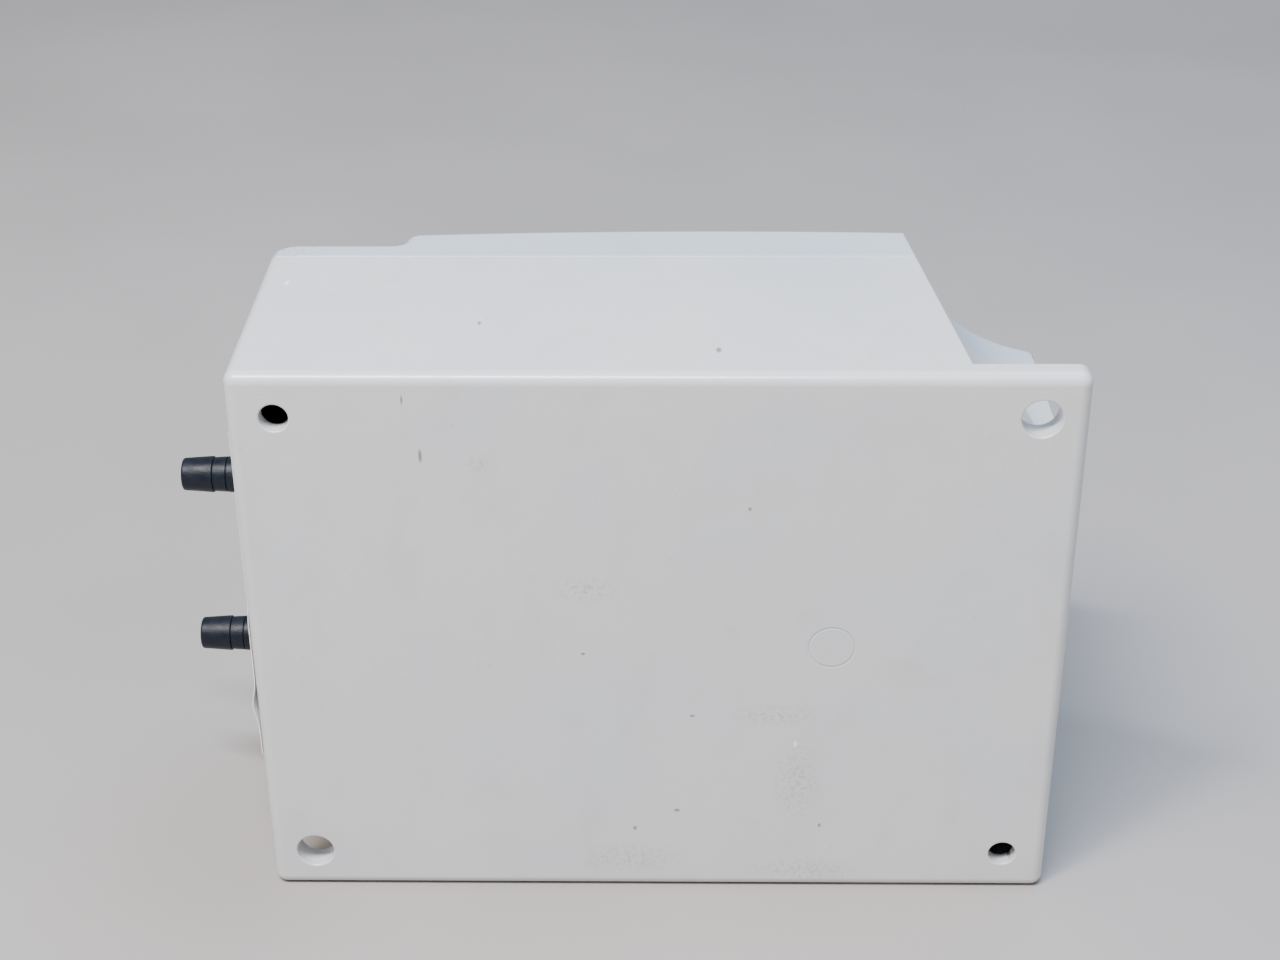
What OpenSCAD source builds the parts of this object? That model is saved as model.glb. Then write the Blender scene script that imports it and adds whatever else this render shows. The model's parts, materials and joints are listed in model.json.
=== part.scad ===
// Wall control unit of a garage door opener.
// The origin is the centre of the back face. The back face looks along -Y,
// the lid along +Y, the cable inlets along -X, and Z is up.

/* [Enclosure] */
// Width of the box
body_w = 160; // [140:1:210]
// Height of the box
body_h = 119; // [105:1:160]
// Depth of the base shell, from the back face to the parting line
base_d = 55; // [48:0.5:75]
// Depth of the whole box where the lid is low
low_d = 61.5; // [60:0.5:85]
// Depth of the whole box at the crown of the raised part
crown_d = 69.5; // [67:0.5:95]
// Radius of the crown of the raised part
crown_r = 900; // [600:10:2000]
// Radius of the lid's upright edge at the inlet side
lid_left_r = 5.5; // [1:0.5:6]
// Radius of the lid's upright edge at the far side
lid_right_r = 2.5; // [1:0.5:6]
// Radius of the rounded edges of the back
edge_r = 2.4; // [1:0.1:3]
// Thickness of the side walls
wall = 3; // [2.6:0.1:4]
// Thickness of the back wall
back_wall = 3.2; // [2.5:0.1:4.5]
// Thickness of the lid
lid_wall = 2.8; // [2:0.1:3.5]

/* [Wall fixing] */
// Distance between the wall holes across the box
fix_x = 142; // [120:1:190]
// Distance between the wall holes up the box
fix_z = 101; // [88:1:140]
// Diameter of the two outer wall holes
outer_hole_d = 7.6; // [5:0.1:9]
// Diameter of the two inner wall holes
inner_hole_d = 5.5; // [4:0.1:7]
// Thickness of the ears round the outer wall holes
ear_t = 5.2; // [4:0.1:8]
// Radius of the corner pockets
pocket_r = 32.5; // [28:0.5:36]
// Tilt of the corner pockets, in degrees
pocket_tilt = 6.6; // [0:0.1:8]

/* [Cable inlets] */
// Distance of the inlets from the back face
inlet_y = 28; // [20:0.5:34]
// Height of the upper inlet above the centre
inlet_upper_z = 23.3; // [18:0.1:30]
// Height of the lower inlet above the centre
inlet_lower_z = -14.9; // [-22:0.1:-8]
// Diameter of the hole in the wall for an inlet
inlet_hole_d = 8; // [7:0.1:10]
// Diameter of the cable bore of an inlet
inlet_bore_d = 4.2; // [3:0.1:4.6]
// Reach of an inlet from the wall
inlet_reach = 16; // [12:0.1:20]

/* [Circuit board] */
// Width of the circuit board
board_w = 140; // [136:0.5:150]
// Height of the circuit board
board_h = 88; // [84:0.5:92]
// Thickness of the circuit board
board_t = 1.6; // [1:0.1:2.4]
// Height of the board's back face above the back of the box
board_y = 11; // [8:0.5:14]
// Distance between the board screws across the board
board_fix_x = 100; // [96:0.5:104]
// Distance between the board screws up the board
board_fix_z = 78; // [76:0.5:80]

/* [Button and indicator] */
// Diameter of the operate button
button_d = 24; // [18:0.5:28]
// Travel of the operate button
button_travel = 1.5; // [1:0.1:2]
// Diameter of the operate button's stem
stem_d = 6; // [5:0.1:7]
// Diameter of the light pipe
pipe_d = 3; // [2.5:0.1:4]

/* [Hidden] */
$fn = 64;

over = 1;                  // how far a cut runs past a face
run_gap = 0.05;            // radial gap of a running fit
part_gap = 0.2;            // gap between the lid's tongue and the base
tongue = 2;                // depth of the rebate in the base's rim
rebate_w = wall / 2;       // width of the rebate
gasket_t = 1;              // thickness of the gasket
board_top = board_y + board_t;

// Corner pocket: a tilted round cut whose axis starts outside the corner
pocket_x = body_w / 2 + 11.2;
pocket_z = body_h / 2 + 5;
pocket_start = -20;
post_d = 9;
post_z = body_h / 2 - wall - post_d / 2 + 0.2;
post_low_x = body_w / 2 - 19;
post_high_x = body_w / 2 - 36;
lid_posts = [[-post_low_x, post_z, low_d], [post_high_x, post_z, crown_d],
    [post_low_x, -post_z, crown_d], [-post_high_x, -post_z, crown_d]];
post_top = base_d - tongue - 0.5;
screw_seat = base_d + 2;   // where the heads of the lid screws sit
lid_screw_d = 3;
lid_screw_head = 5.6;
lid_post_d = post_d - 0.8;

// Step between the low and the raised part of the lid
step_x = -body_w / 2 + 24.5;
step_low_r = 2.6;
step_high_r = 3.4;
crown_x = 12;

// Places on the board: [x, z]
transformer_at = [38, -14];
core = [48, 20, 40];
core_leg = 16;
core_window = [8, 24];
core_y = board_top + 8.8;
core_bolt_at = [20, 16];
coil = [31, 35, 23];
switch_at = [-6, 2];
led_at = [-6, 20];
relay_size = [15.5, 15.5, 19];
relay_x = -46;
relay_open_z = 11;
relay_close_z = -10;
terminal_x = -board_w / 2 + 0.5;
fuse_at = [-41, 30];
fuse_len = 20;
fuse_d = 5.2;
fuse_cap_len = 5.4;
fuse_cap_t = 0.8;
trimmer_size = 9.5;
open_trimmer_at = [-14, -18];
close_trimmer_at = [-2, -18];
learn_at = [-12, -33];
dip_at = [-27, 15];
dip_pitch = 2.54;
dip_travel = 2;
receiver_at = [14, -40];
receiver_pitch = 2.54;
chip_at = [-29, -14];
crystal_at = [-20, -4];
varistor_at = [-22, 36];
rectifier_at = [33, 20];
sink_at = [54, 17];
regulator_gap = 3.22;
antenna_at = [-26, -38];
capacitor_at = [[-2, 32], [16, 32]];

// Button cup, label, inlets, leads and small parts
button_gap = 0.4;
button_cup_d = button_d + 2 * button_gap + 3;
button_face_y = crown_d - 1;
shelf_y = crown_d - 13;
shelf_t = 2;
pipe_sleeve_y = crown_d - 12;
pipe_gap = 0.04;
pipe_head_d = pipe_d + 2;
pipe_head_t = 3;           // length of the light pipe's head
label_t = 0.3;
label_h = 74;
inlet_mid_z = (inlet_upper_z + inlet_lower_z) / 2 + 5;
inlet_flange_d = 11;
inlet_flange_t = 1.3;
inlet_tip_d = 6.2;
inlet_barb_d = 7.4;
inlet_nose = 6.4;          // length of the first barb
inlet_inner = 2;           // thickness of the flange inside the wall
pin_d = 0.9;
capacitor_d = 16;
capacitor_h = 26;
varistor_d = 12;
varistor_t = 4;
sink_w = 24;
sink_h = 25;
fin_pitch = 3.7;
pin_hole_d = 1.3;
pin_tip_y = board_y - 1.5;
clip_pin_x = (fuse_len - fuse_cap_len) / 2;
transformer_pin_places = [for (s = [-1, 1], i = [-2:2])
    transformer_at + [i * 5, s * (core[2] / 2 - 4.5)]];
receiver_pin_places = [for (i = [-3.5:3.5]) receiver_at + [i * receiver_pitch, 0]];
rectifier_pin_places = [for (sx = [-1, 1], sz = [-1, 1]) rectifier_at + [sx * 5, sz * 5]];
regulator_pin_places = [for (i = [-1:1]) sink_at + [i * 2.54, -regulator_gap]];
clip_pin_places = [for (s = [-1, 1]) fuse_at + [s * clip_pin_x, 0]];
varistor_pin_places = [for (s = [-1, 1]) varistor_at + [s * 1.2, s * 3.75]];
antenna_pin_places = [antenna_at + [2.3, 0]];
pin_places = concat(transformer_pin_places, receiver_pin_places, rectifier_pin_places,
    regulator_pin_places, clip_pin_places, varistor_pin_places, antenna_pin_places);
board_corner = 14;
flange_t = 1;
pin_rail_z = coil[2] / 2 + 3.5;
// Terminal block: [ways, pitch, depth in x, height, z of its middle]
mains_block = [3, 7.5, 10, 13, 29];
motor_block = [2, 7.5, 10, 13, 8.5];
control_block = [5, 5, 8, 10, -14];
blocks = [mains_block, motor_block, control_block];
// Shares of a block's pitch
way_hole = 0.62;           // screw hole
way_head = 0.58;           // screw head
way_shank = 0.4;           // screw shank
way_clamp = 0.56;          // width of the clamp
clamp_h = 0.55;            // height of the clamp
fuse_y = board_top + 6;
dip_body_w = 9.8;
dip_body_h = 11.6;
dip_body_y = 5;
dip_knob = [1.6, 2.2, 1.2];
dip_gap = 0.15;
rotor_d = 6;
learn_travel = 0.5;
learn_h = 4;
learn_d = 3.4;
operate_h = 7;
operate_d = 6.8;
operate_top = board_top + operate_h + button_travel + 1;
spring_d = 12;
retainer_y = shelf_y - shelf_t - 0.1;
receiver_w = 36;
receiver_h = 20;
receiver_t = 1.2;

// ---- helpers ----
// A flat outline, x and z, drawn from depth y0 to depth y1
module along_y(y0, y1)
    translate([0, y0, 0]) rotate([-90, 0, 0]) mirror([0, 1, 0]) linear_extrude(y1 - y0) children();

// Rounded rectangle round the origin
module rounded(w, h, r) {
    square([w - 2 * r, h], center = true);
    square([w, h - 2 * r], center = true);
    for (sx = [-1, 1], sz = [-1, 1])
        translate([sx * (w / 2 - r), sz * (h / 2 - r)]) circle(r);
}

// A round bar along Y from depth y0 to depth y1
module bar_y(d, y0, y1) translate([0, y0, 0]) rotate([-90, 0, 0]) cylinder(d = d, h = y1 - y0);

// Places its children at x, z
module at(p) translate([p[0], 0, p[1]]) children();

// A box with x, z centred on the origin and its depth from y0 to y1
module slab(w, h, y0, y1) translate([-w / 2, y0, -h / 2]) cube([w, y1 - y0, h]);

// The two corner pockets, grown by a wall
module pockets(grow)
    for (turn = [0, 180])
        rotate([0, turn, 0])
            translate([pocket_x, 0, pocket_z]) rotate([0, 0, pocket_tilt])
                translate([0, pocket_start, 0]) rotate([-90, 0, 0])
                    cylinder(r = pocket_r + grow, h = crown_d - 3 * pocket_start, $fn = 128);

// Outline of the box drawn in by a wall, with its pockets, over a stretch of depth
module ring_solid(inset, y0, y1)
    difference() {
        along_y(y0, y1) rounded(body_w - 2 * inset, body_h - 2 * inset, max(edge_r - inset, 0.6));
        pockets(inset);
    }

// ---- enclosure ----
module base_block() {
    x = body_w / 2 - edge_r;
    z = body_h / 2 - edge_r;
    along_y(edge_r, base_d) rounded(body_w, body_h, edge_r);
    slab(2 * x, 2 * z, 0, base_d);
    for (s = [-1, 1]) {
        translate([-x, edge_r, s * z]) rotate([0, 90, 0]) cylinder(r = edge_r, h = 2 * x);
        translate([s * x, edge_r, -z]) cylinder(r = edge_r, h = 2 * z);
        for (t = [-1, 1]) translate([s * x, edge_r, t * z]) sphere(edge_r);
    }
}

module inlet_places()
    for (z = [inlet_upper_z, inlet_lower_z]) translate([-body_w / 2, inlet_y, z]) children();

module base_shell() {
    color("#cfd2d4") difference() {
        union() {
            difference() {
                base_block();
                intersection() {
                    pockets(0);
                    slab(2 * body_w, 2 * body_h, ear_t, base_d + over);
                }
                ring_solid(wall, back_wall, base_d + over);
                ring_solid(rebate_w, base_d - tongue, base_d + over);
                inlet_places() rotate([0, 90, 0])
                    cylinder(d = inlet_hole_d, h = 4 * wall, center = true);
            }
            intersection() {
                union() {
                    for (p = lid_posts) at(p) bar_y(post_d, back_wall - over, post_top);
                    for (sx = [-1, 1], sz = [-1, 1])
                        at([sx * board_fix_x / 2, sz * board_fix_z / 2])
                            bar_y(7, back_wall - over, board_y);
                }
                slab(body_w - wall, body_h - wall, back_wall - over, base_d);
            }
        }
        for (p = lid_posts) at(p) bar_y(lid_screw_d + 2 * run_gap, post_top - 12, post_top + over);
        for (sx = [-1, 1], sz = [-1, 1])
            at([sx * board_fix_x / 2, sz * board_fix_z / 2]) bar_y(3 + 2 * run_gap, back_wall, board_y + over);
        for (s = [-1, 1]) {
            at([s * fix_x / 2, s * fix_z / 2]) bar_y(outer_hole_d, -over, ear_t + over);
            at([-s * fix_x / 2, s * fix_z / 2]) bar_y(inner_hole_d, -over, back_wall + over);
        }
    }
}

// Outline of the lid in x and y, thinned by t: low part, rounded step and crowned part
module lid_profile(t, start) {
    top = crown_d - t;
    edge = body_w / 2 - t;
    step_y = low_d - t;
    x0 = step_x + t * 0.4;
    x1 = x0 + step_low_r;
    x2 = x1 + step_high_r;
    high_y = top - pow(crown_x - x2, 2) / (2 * crown_r);
    right_r = lid_right_r - t / 2;
    right_y = top - pow(edge - right_r - crown_x, 2) / (2 * crown_r);
    left_r = lid_left_r - t / 2;
    translate([-edge, start]) square([2 * edge, step_y - left_r - start]);
    translate([-edge + left_r, start]) square([edge, step_y - start]);
    translate([-edge + left_r, step_y - left_r]) circle(left_r);
    intersection() {
        translate([x1, start]) square([edge - x1, top - start]);
        translate([crown_x, top - crown_r]) circle(crown_r, $fn = 720);
        union() {
            translate([x1, start]) square([step_high_r + over, high_y - step_high_r - start]);
            translate([x2, start]) square([edge - x2, right_y - right_r - start]);
            translate([x2, start]) square([edge - right_r - x2, top - start]);
            translate([edge - right_r, right_y - right_r]) circle(right_r);
            translate([x2, high_y - step_high_r]) circle(step_high_r);
        }
    }
    difference() {
        translate([x0, step_y - over]) square([step_low_r + over, step_low_r + over]);
        translate([x0, step_y + step_low_r]) circle(step_low_r);
    }
}

module lid_solid(t, start)
    translate([0, 0, -body_h / 2]) linear_extrude(body_h) lid_profile(t, start);

module lid_bores() {
    for (p = lid_posts) at(p) {
        bar_y(lid_screw_d + 0.8, 0, crown_d + over);
        bar_y(lid_screw_head + 0.6, screw_seat, crown_d + over);
    }
    at(switch_at) {
        bar_y(button_d + 2 * button_gap, shelf_y, crown_d + over);
        bar_y(stem_d + 2 * run_gap, 0, crown_d);
    }
    at(led_at) {
        bar_y(pipe_d + pipe_gap, 0, crown_d + over);
        bar_y(pipe_head_d + pipe_gap, crown_d - pipe_head_t, crown_d + over);
    }
}

module front_lid()
    color("#c9ced3") difference() {
        union() {
            difference() {
                intersection() {
                    lid_solid(0, base_d - over);
                    ring_solid(0, base_d, crown_d + over);
                }
                intersection() {
                    lid_solid(lid_wall, base_d - over);
                    ring_solid(wall, base_d - over, crown_d + over);
                }
            }
            difference() {
                ring_solid(rebate_w + part_gap, base_d - tongue + gasket_t, base_d + lid_wall / 2);
                ring_solid(wall, base_d - tongue, base_d + lid_wall);
            }
            intersection() {
                lid_solid(lid_wall / 2, 0);
                union() {
                    for (p = lid_posts) at(p) bar_y(lid_post_d, post_top + 0.3, crown_d);
                    at(switch_at) bar_y(button_cup_d, shelf_y - shelf_t, crown_d);
                    at(led_at) bar_y(pipe_head_d + 2, pipe_sleeve_y, crown_d);
                }
            }
        }
        lid_bores();
    }

module lid_gasket()
    color("#3a3d40") difference() {
        ring_solid(rebate_w + 0.1, base_d - tongue, base_d - tongue + gasket_t);
        ring_solid(wall - 0.05, base_d - tongue - over, base_d);
    }

// A screw that points to -Y, with its head's seat at depth y
module screw(d, head_d, head_h, len, y) {
    difference() {
        bar_y(head_d, y, y + head_h);
        for (turn = [45, -45])
            translate([0, y + head_h, 0]) rotate([0, turn, 0])
                cube([head_d * 0.6, head_h * 1.1, head_d * 0.14], center = true);
    }
    bar_y(d, y - len + d / 2, y);
    translate([0, y - len + d / 2, 0]) rotate([90, 0, 0]) cylinder(d1 = d, d2 = d * 0.3, h = d / 2);
}

module lid_screws()
    color("#b9bcc0") for (p = lid_posts) at(p) screw(lid_screw_d, lid_screw_head, 2.2, 15, screw_seat);

module side_label()
    color("#e4e4e0") difference() {
        translate([-body_w / 2 - label_t, edge_r + 0.2, inlet_mid_z - label_h / 2])
            cube([label_t, base_d - edge_r - 6, label_h]);
        inlet_places() rotate([0, 90, 0]) cylinder(d = inlet_flange_d + 1, h = 4 * wall, center = true);
    }

// A cable inlet that points to -X, with the outer face of the wall at its origin
module cable_grommet() {
    barbs = 3;
    pitch = (inlet_reach - inlet_flange_t - inlet_nose) / barbs;
    bore_r = inlet_bore_d / 2;
    neck_r = inlet_tip_d / 2 + 0.1;
    outer_r = inlet_barb_d / 2;
    rotate([0, -90, 0]) rotate_extrude()
        polygon(concat(
            [[bore_r, -wall - inlet_inner], [inlet_flange_d / 2, -wall - inlet_inner],
             [inlet_flange_d / 2, -wall], [inlet_hole_d / 2 - 0.02, -wall],
             [inlet_hole_d / 2 - 0.02, 0.01], [inlet_flange_d / 2, 0.01],
             [inlet_flange_d / 2 - 0.3, inlet_flange_t]],
            [for (i = [0:barbs - 1]) each [
                [neck_r, inlet_flange_t + i * pitch],
                [outer_r, inlet_flange_t + i * pitch + 0.3],
                [neck_r, inlet_flange_t + (i + 1) * pitch]]],
            [[outer_r, inlet_reach - inlet_nose + 0.3],
             [inlet_tip_d / 2, inlet_reach - 0.5], [inlet_tip_d / 2 - 0.5, inlet_reach],
             [bore_r, inlet_reach]]));
}

module cable_grommet_upper()
    color("#23272d") translate([-body_w / 2, inlet_y, inlet_upper_z]) cable_grommet();

module cable_grommet_lower()
    color("#23272d") translate([-body_w / 2, inlet_y, inlet_lower_z]) cable_grommet();

// ---- circuit board ----
module board_screw_places()
    for (sx = [-1, 1], sz = [-1, 1])
        at([sx * board_fix_x / 2, sz * board_fix_z / 2]) children();

module circuit_board()
    color("#2f6b45") difference() {
        along_y(board_y, board_top) difference() {
            rounded(board_w, board_h, 1.5);
            for (s = [-1, 1])
                translate([s * board_w / 2, s * board_h / 2]) rotate(45)
                    square(board_corner * sqrt(2), center = true);
        }
        board_screw_places() bar_y(3.4, 0, board_top + over);
        for (p = pin_places) at(p) bar_y(pin_hole_d, 0, board_top + over);
        at(transformer_at)
            for (sx = [-1, 1], sz = [-1, 1])
                at([sx * core_bolt_at[0], sz * core_bolt_at[1]]) bar_y(3.3, 0, board_top + over);
    }

module board_screws()
    color("#b9bcc0") board_screw_places() screw(3, 5.6, 2, 7.5, board_top);

// ---- transformer ----
module transformer_bolt_places()
    at(transformer_at)
        for (sx = [-1, 1], sz = [-1, 1])
            at([sx * core_bolt_at[0], sz * core_bolt_at[1]]) children();

module transformer_core()
    color("#4a4642") difference() {
        at(transformer_at) difference() {
            slab(core[0], core[2], core_y, core_y + core[1]);
            for (s = [-1, 1])
                at([s * (core_leg + core_window[0]) / 2, 0])
                    slab(core_window[0], core_window[1], 0, core_y + 2 * core[1]);
        }
        transformer_bolt_places() bar_y(3.4, 0, core_y + 2 * core[1]);
    }

module coil_block(w, l, z0, z1)
    at(transformer_at) translate([-w / 2, core_y + core[1] / 2 - l / 2, z0]) cube([w, l, z1 - z0]);

module transformer_bobbin()
    color("#d8d2c0") difference() {
        union() {
            coil_block(core_leg + 2.4, core[1] + 2.4, -coil[2] / 2, coil[2] / 2);
            for (z = [-coil[2] / 2, -flange_t / 2, coil[2] / 2 - flange_t])
                coil_block(coil[0] + 0.4, coil[1] + 0.4, z, z + flange_t);
            for (s = [-1, 1])
                at(transformer_at) at([0, s * pin_rail_z])
                    slab(coil[0] - 2, 8, board_top, core_y - 0.3);
        }
        coil_block(core_leg + 0.2, core[1] + 0.2, -coil[2], coil[2]);
    }

module winding(z0, z1)
    difference() {
        coil_block(coil[0] - 0.6, coil[1] - 0.6, z0, z1);
        coil_block(core_leg + 2.5, core[1] + 2.5, z0 - over, z1 + over);
    }

module primary_winding()
    color("#b8722c") winding(-coil[2] / 2 + flange_t + 0.05, -flange_t / 2 - 0.05);

module secondary_winding()
    color("#c9a227") winding(flange_t / 2 + 0.05, coil[2] / 2 - flange_t - 0.05);

module transformer_bolts()
    color("#b9bcc0") transformer_bolt_places() {
        bar_y(3, board_y - 2.2, core_y + core[1]);
        rotate([0, 30, 0]) translate([0, core_y + core[1], 0]) rotate([-90, 0, 0]) cylinder(d = 6, h = 2.2, $fn = 6);
        translate([0, board_y - 2.2, 0]) rotate([-90, 0, 0]) cylinder(d = 6, h = 2.2, $fn = 6);
    }

module transformer_spacers()
    color("#e8e6e0") transformer_bolt_places() difference() {
        bar_y(6, board_top, core_y);
        bar_y(3.1, 0, core_y + over);
    }

module transformer_pins()
    color("#c8c8c4") for (p = transformer_pin_places) at(p) bar_y(pin_d, pin_tip_y, board_top);

// ---- door relays and terminals ----
module relay(z)
    at([relay_x, z]) difference() {
        slab(relay_size[0], relay_size[2], board_top, board_top + relay_size[1]);
        translate([0, board_top + relay_size[1], 0]) bar_y(1.6, -0.4, over);
    }

module relay_open() color("#23303d") relay(relay_open_z);
module relay_close() color("#23303d") relay(relay_close_z);

// Places its children at each way of a block, at the block's middle depth in x
module ways(b)
    for (i = [0:b[0] - 1])
        at([terminal_x + b[2] / 2, b[4] + (i - (b[0] - 1) / 2) * b[1]]) children();

module terminal_block(b)
    difference() {
        at([terminal_x + b[2] / 2, b[4]]) difference() {
            slab(b[2], b[0] * b[1] - 0.2, board_top, board_top + b[3]);
            translate([b[2] / 2, board_top + b[3], 0]) rotate([0, 0, 45])
                cube([2.4, 2.4, 2 * b[0] * b[1]], center = true);
        }
        ways(b) {
            bar_y(b[1] * way_hole, board_top + b[3] - 3.4, board_top + b[3] + over);
            translate([-b[2], board_top + 1.6, -b[1] * 0.3]) cube([b[2] * 1.35, b[1] * 0.7, b[1] * 0.6]);
        }
        ways(b) bar_y(b[1] * way_shank + 0.1, board_top + 3, board_top + b[3]);
    }

module mains_terminal_block() color("#2f7d4f") terminal_block(mains_block);
module motor_terminal_block() color("#2f7d4f") terminal_block(motor_block);
module control_terminal_block() color("#2f7d4f") terminal_block(control_block);

module terminal_screws()
    color("#c5c7ca") for (b = blocks) ways(b) {
        top = board_top + b[3] - 1;
        difference() {
            bar_y(b[1] * way_head, top - 2, top);
            translate([0, top, 0]) cube([b[1], 1.2, 0.7], center = true);
        }
        bar_y(b[1] * way_shank, board_top + 1.6 + b[1] * clamp_h, top - 2);
    }

module terminal_clamps()
    color("#c9b458") for (b = blocks) ways(b)
        translate([-b[2] * way_clamp / 2, board_top + 1.7, -b[1] * way_clamp / 2]) difference() {
            cube([b[2] * way_clamp, b[1] * clamp_h - 0.2, b[1] * way_clamp]);
            translate([-over, 0.6, 0.6]) cube([b[2], b[1] * clamp_h - 1.4, b[1] * way_clamp - 1.2]);
        }

// ---- fuse ----
module fuse_clips()
    color("#c9c6b8") at(fuse_at)
        for (s = [-1, 1]) translate([s * (fuse_len - fuse_cap_len) / 2, 0, 0]) {
            w = 4.4;
            gap = fuse_d + 2 * run_gap;
            translate([-w / 2, board_top, -gap / 2 - 0.5]) cube([w, 0.5, gap + 1]);
            for (t = [-1, 1])
                translate([-w / 2, board_top, t * (gap / 2 + 0.25) - 0.25]) cube([w, 8.6, 0.5]);
            bar_y(pin_d, pin_tip_y, board_top + 0.3);
        }

module fuse_glass()
    color("#cfe0e4") translate([fuse_at[0], fuse_y, fuse_at[1]]) rotate([0, 90, 0]) difference() {
        cylinder(d = fuse_d - 0.2, h = fuse_len - 2 * fuse_cap_t - 0.02, center = true);
        cylinder(d = fuse_d - 1.6, h = fuse_len - 4 * fuse_cap_t, center = true);
    }

module fuse_caps()
    color("#c8cacc") translate([fuse_at[0], fuse_y, fuse_at[1]]) rotate([0, 90, 0])
        for (s = [-1, 1]) translate([0, 0, s * (fuse_len - fuse_cap_len) / 2]) difference() {
            cylinder(d = fuse_d, h = fuse_cap_len, center = true);
            translate([0, 0, -s * fuse_cap_t / 2])
                cylinder(d = fuse_d - 0.2, h = fuse_cap_len - fuse_cap_t + 0.01, center = true);
        }

module varistor()
    color("#2a5fa8") {
        translate([varistor_at[0], board_top + 8, varistor_at[1]]) rotate([0, 90, 0])
            cylinder(d = varistor_d, h = varistor_t, center = true);
        for (p = varistor_pin_places) at(p) bar_y(pin_d, pin_tip_y, board_top + 6);
    }

// ---- low voltage supply ----
module smoothing_capacitors()
    color("#26324a") for (p = capacitor_at) at(p) difference() {
        union() {
            bar_y(capacitor_d, board_top + 1, board_top + capacitor_h);
            bar_y(capacitor_d - 2, board_top, board_top + 1);
        }
        for (turn = [0, 90]) translate([0, board_top + capacitor_h, 0]) rotate([0, turn, 0])
            cube([10, 0.5, 0.5], center = true);
    }

module bridge_rectifier()
    color("#2b2b2d") {
        at(rectifier_at) slab(15, 15, board_top + 3, board_top + 9);
        for (p = rectifier_pin_places) at(p) bar_y(pin_d, pin_tip_y, board_top + 4);
    }

module heat_sink()
    color("#3b3d40") at(sink_at) {
        slab(sink_w, 2, board_top + 0.2, board_top + sink_h);
        for (i = [-3:3]) translate([i * fin_pitch, 0, 3.5]) slab(1, 6, board_top + 0.2, board_top + sink_h);
        translate([0, 0, 5.2]) slab(sink_w, 2, board_top + 0.2, board_top + 6);
    }

module voltage_regulator()
    color("#26272a") {
        at(sink_at - [0, regulator_gap]) {
            slab(10, 4.4, board_top + 4, board_top + 13);
            translate([0, 0, 1.55]) difference() {
                slab(10, 1.3, board_top + 12, board_top + 19.5);
                translate([0, board_top + 16.5, 0]) cylinder(d = 3.6, h = 8, center = true);
            }
        }
        for (p = regulator_pin_places) at(p) bar_y(pin_d, pin_tip_y, board_top + 5);
    }

// ---- control ----
module control_chip()
    color("#232427") at(chip_at) {
        slab(7.2, 30, board_top + 0.6, board_top + 4.2);
        for (s = [-1, 1], i = [0:11]) translate([s * 3.9, 0, (i - 5.5) * 2.4]) {
            slab(0.8, 1.2, board_top, board_top + 2.4);
        }
    }

module crystal()
    color("#c3c6c8") at(crystal_at) along_y(board_top, board_top + 3.6) rounded(4.4, 11, 2.1);

module dip_switch_body()
    color("#b3262a") at(dip_at) difference() {
        slab(dip_body_w, dip_body_h, board_top, board_top + dip_body_y);
        for (i = [0:3])
            at([0, (i - 1.5) * dip_pitch])
                slab(dip_travel + dip_knob[0] + 2 * dip_gap, dip_knob[2] + 2 * dip_gap,
                    board_top + dip_body_y - 2, board_top + dip_body_y + over);
    }

module dip_slider(i)
    color("#f0f0ea") at([dip_at[0] - dip_travel / 2, dip_at[1] + (i - 1.5) * dip_pitch])
        slab(dip_knob[0], dip_knob[2], board_top + dip_body_y - 1.9, board_top + dip_body_y - 1.9 + dip_knob[1]);

module dip_slider_1() dip_slider(0);
module dip_slider_2() dip_slider(1);
module dip_slider_3() dip_slider(2);
module dip_slider_4() dip_slider(3);

module trimmer_body(p)
    color("#2b5c9e") at(p) difference() {
        slab(trimmer_size, trimmer_size, board_top, board_top + 4.8);
        bar_y(rotor_d + 0.3, board_top + 3, board_top + 6);
    }

module trimmer_rotor(p)
    color("#f2efe6") at(p) difference() {
        bar_y(rotor_d, board_top + 3.1, board_top + 5.4);
        translate([0, board_top + 5.4, 0]) cube([rotor_d * 0.8, 1.6, 0.9], center = true);
    }

module open_force_trimmer_body() trimmer_body(open_trimmer_at);
module open_force_trimmer_rotor() trimmer_rotor(open_trimmer_at);
module close_force_trimmer_body() trimmer_body(close_trimmer_at);
module close_force_trimmer_rotor() trimmer_rotor(close_trimmer_at);

module push_switch_body(size, h, plunger_d)
    difference() {
        slab(size, size, board_top, board_top + h);
        bar_y(plunger_d + 0.2, board_top + 1.2, board_top + h + over);
    }

module learn_switch_body() color("#2b2c2f") at(learn_at) push_switch_body(6, learn_h, learn_d);

module learn_button()
    color("#d9a441") at(learn_at) bar_y(learn_d, board_top + 1.2 + learn_travel + 0.3, board_top + learn_h + 2);

module operate_switch_body() color("#2b2c2f") at(switch_at) push_switch_body(12, operate_h, operate_d);

module operate_switch_plunger()
    color("#e9e6dc") at(switch_at) bar_y(operate_d, board_top + 1.2 + button_travel + 0.3, operate_top);

// ---- lid button and light ----
module operate_button()
    color("#6f777e") at(switch_at) difference() {
        union() {
            bar_y(button_d, button_face_y - 7, button_face_y - 1);
            bar_y(button_d - 2, button_face_y - 2, button_face_y);
            bar_y(stem_d, operate_top + 0.02, button_face_y - 2);
        }
        difference() {
            bar_y(button_d - 3.2, 0, button_face_y - 2.4);
            bar_y(stem_d + 0.01, 0, button_face_y);
        }
        difference() {
            bar_y(stem_d + 2, retainer_y - 1, retainer_y);
            bar_y(stem_d - 1.6, 0, retainer_y + over);
        }
    }

module button_spring()
    color("#c7c9cb") at(switch_at) difference() {
        bar_y(spring_d, shelf_y + 0.02, button_face_y - 2.42);
        bar_y(spring_d - 2, 0, crown_d);
    }

module button_retainer()
    color("#aeb1b4") at(switch_at) difference() {
        bar_y(stem_d + 4, retainer_y - 0.98, retainer_y - 0.02);
        bar_y(stem_d - 1.5, 0, crown_d);
    }

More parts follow.
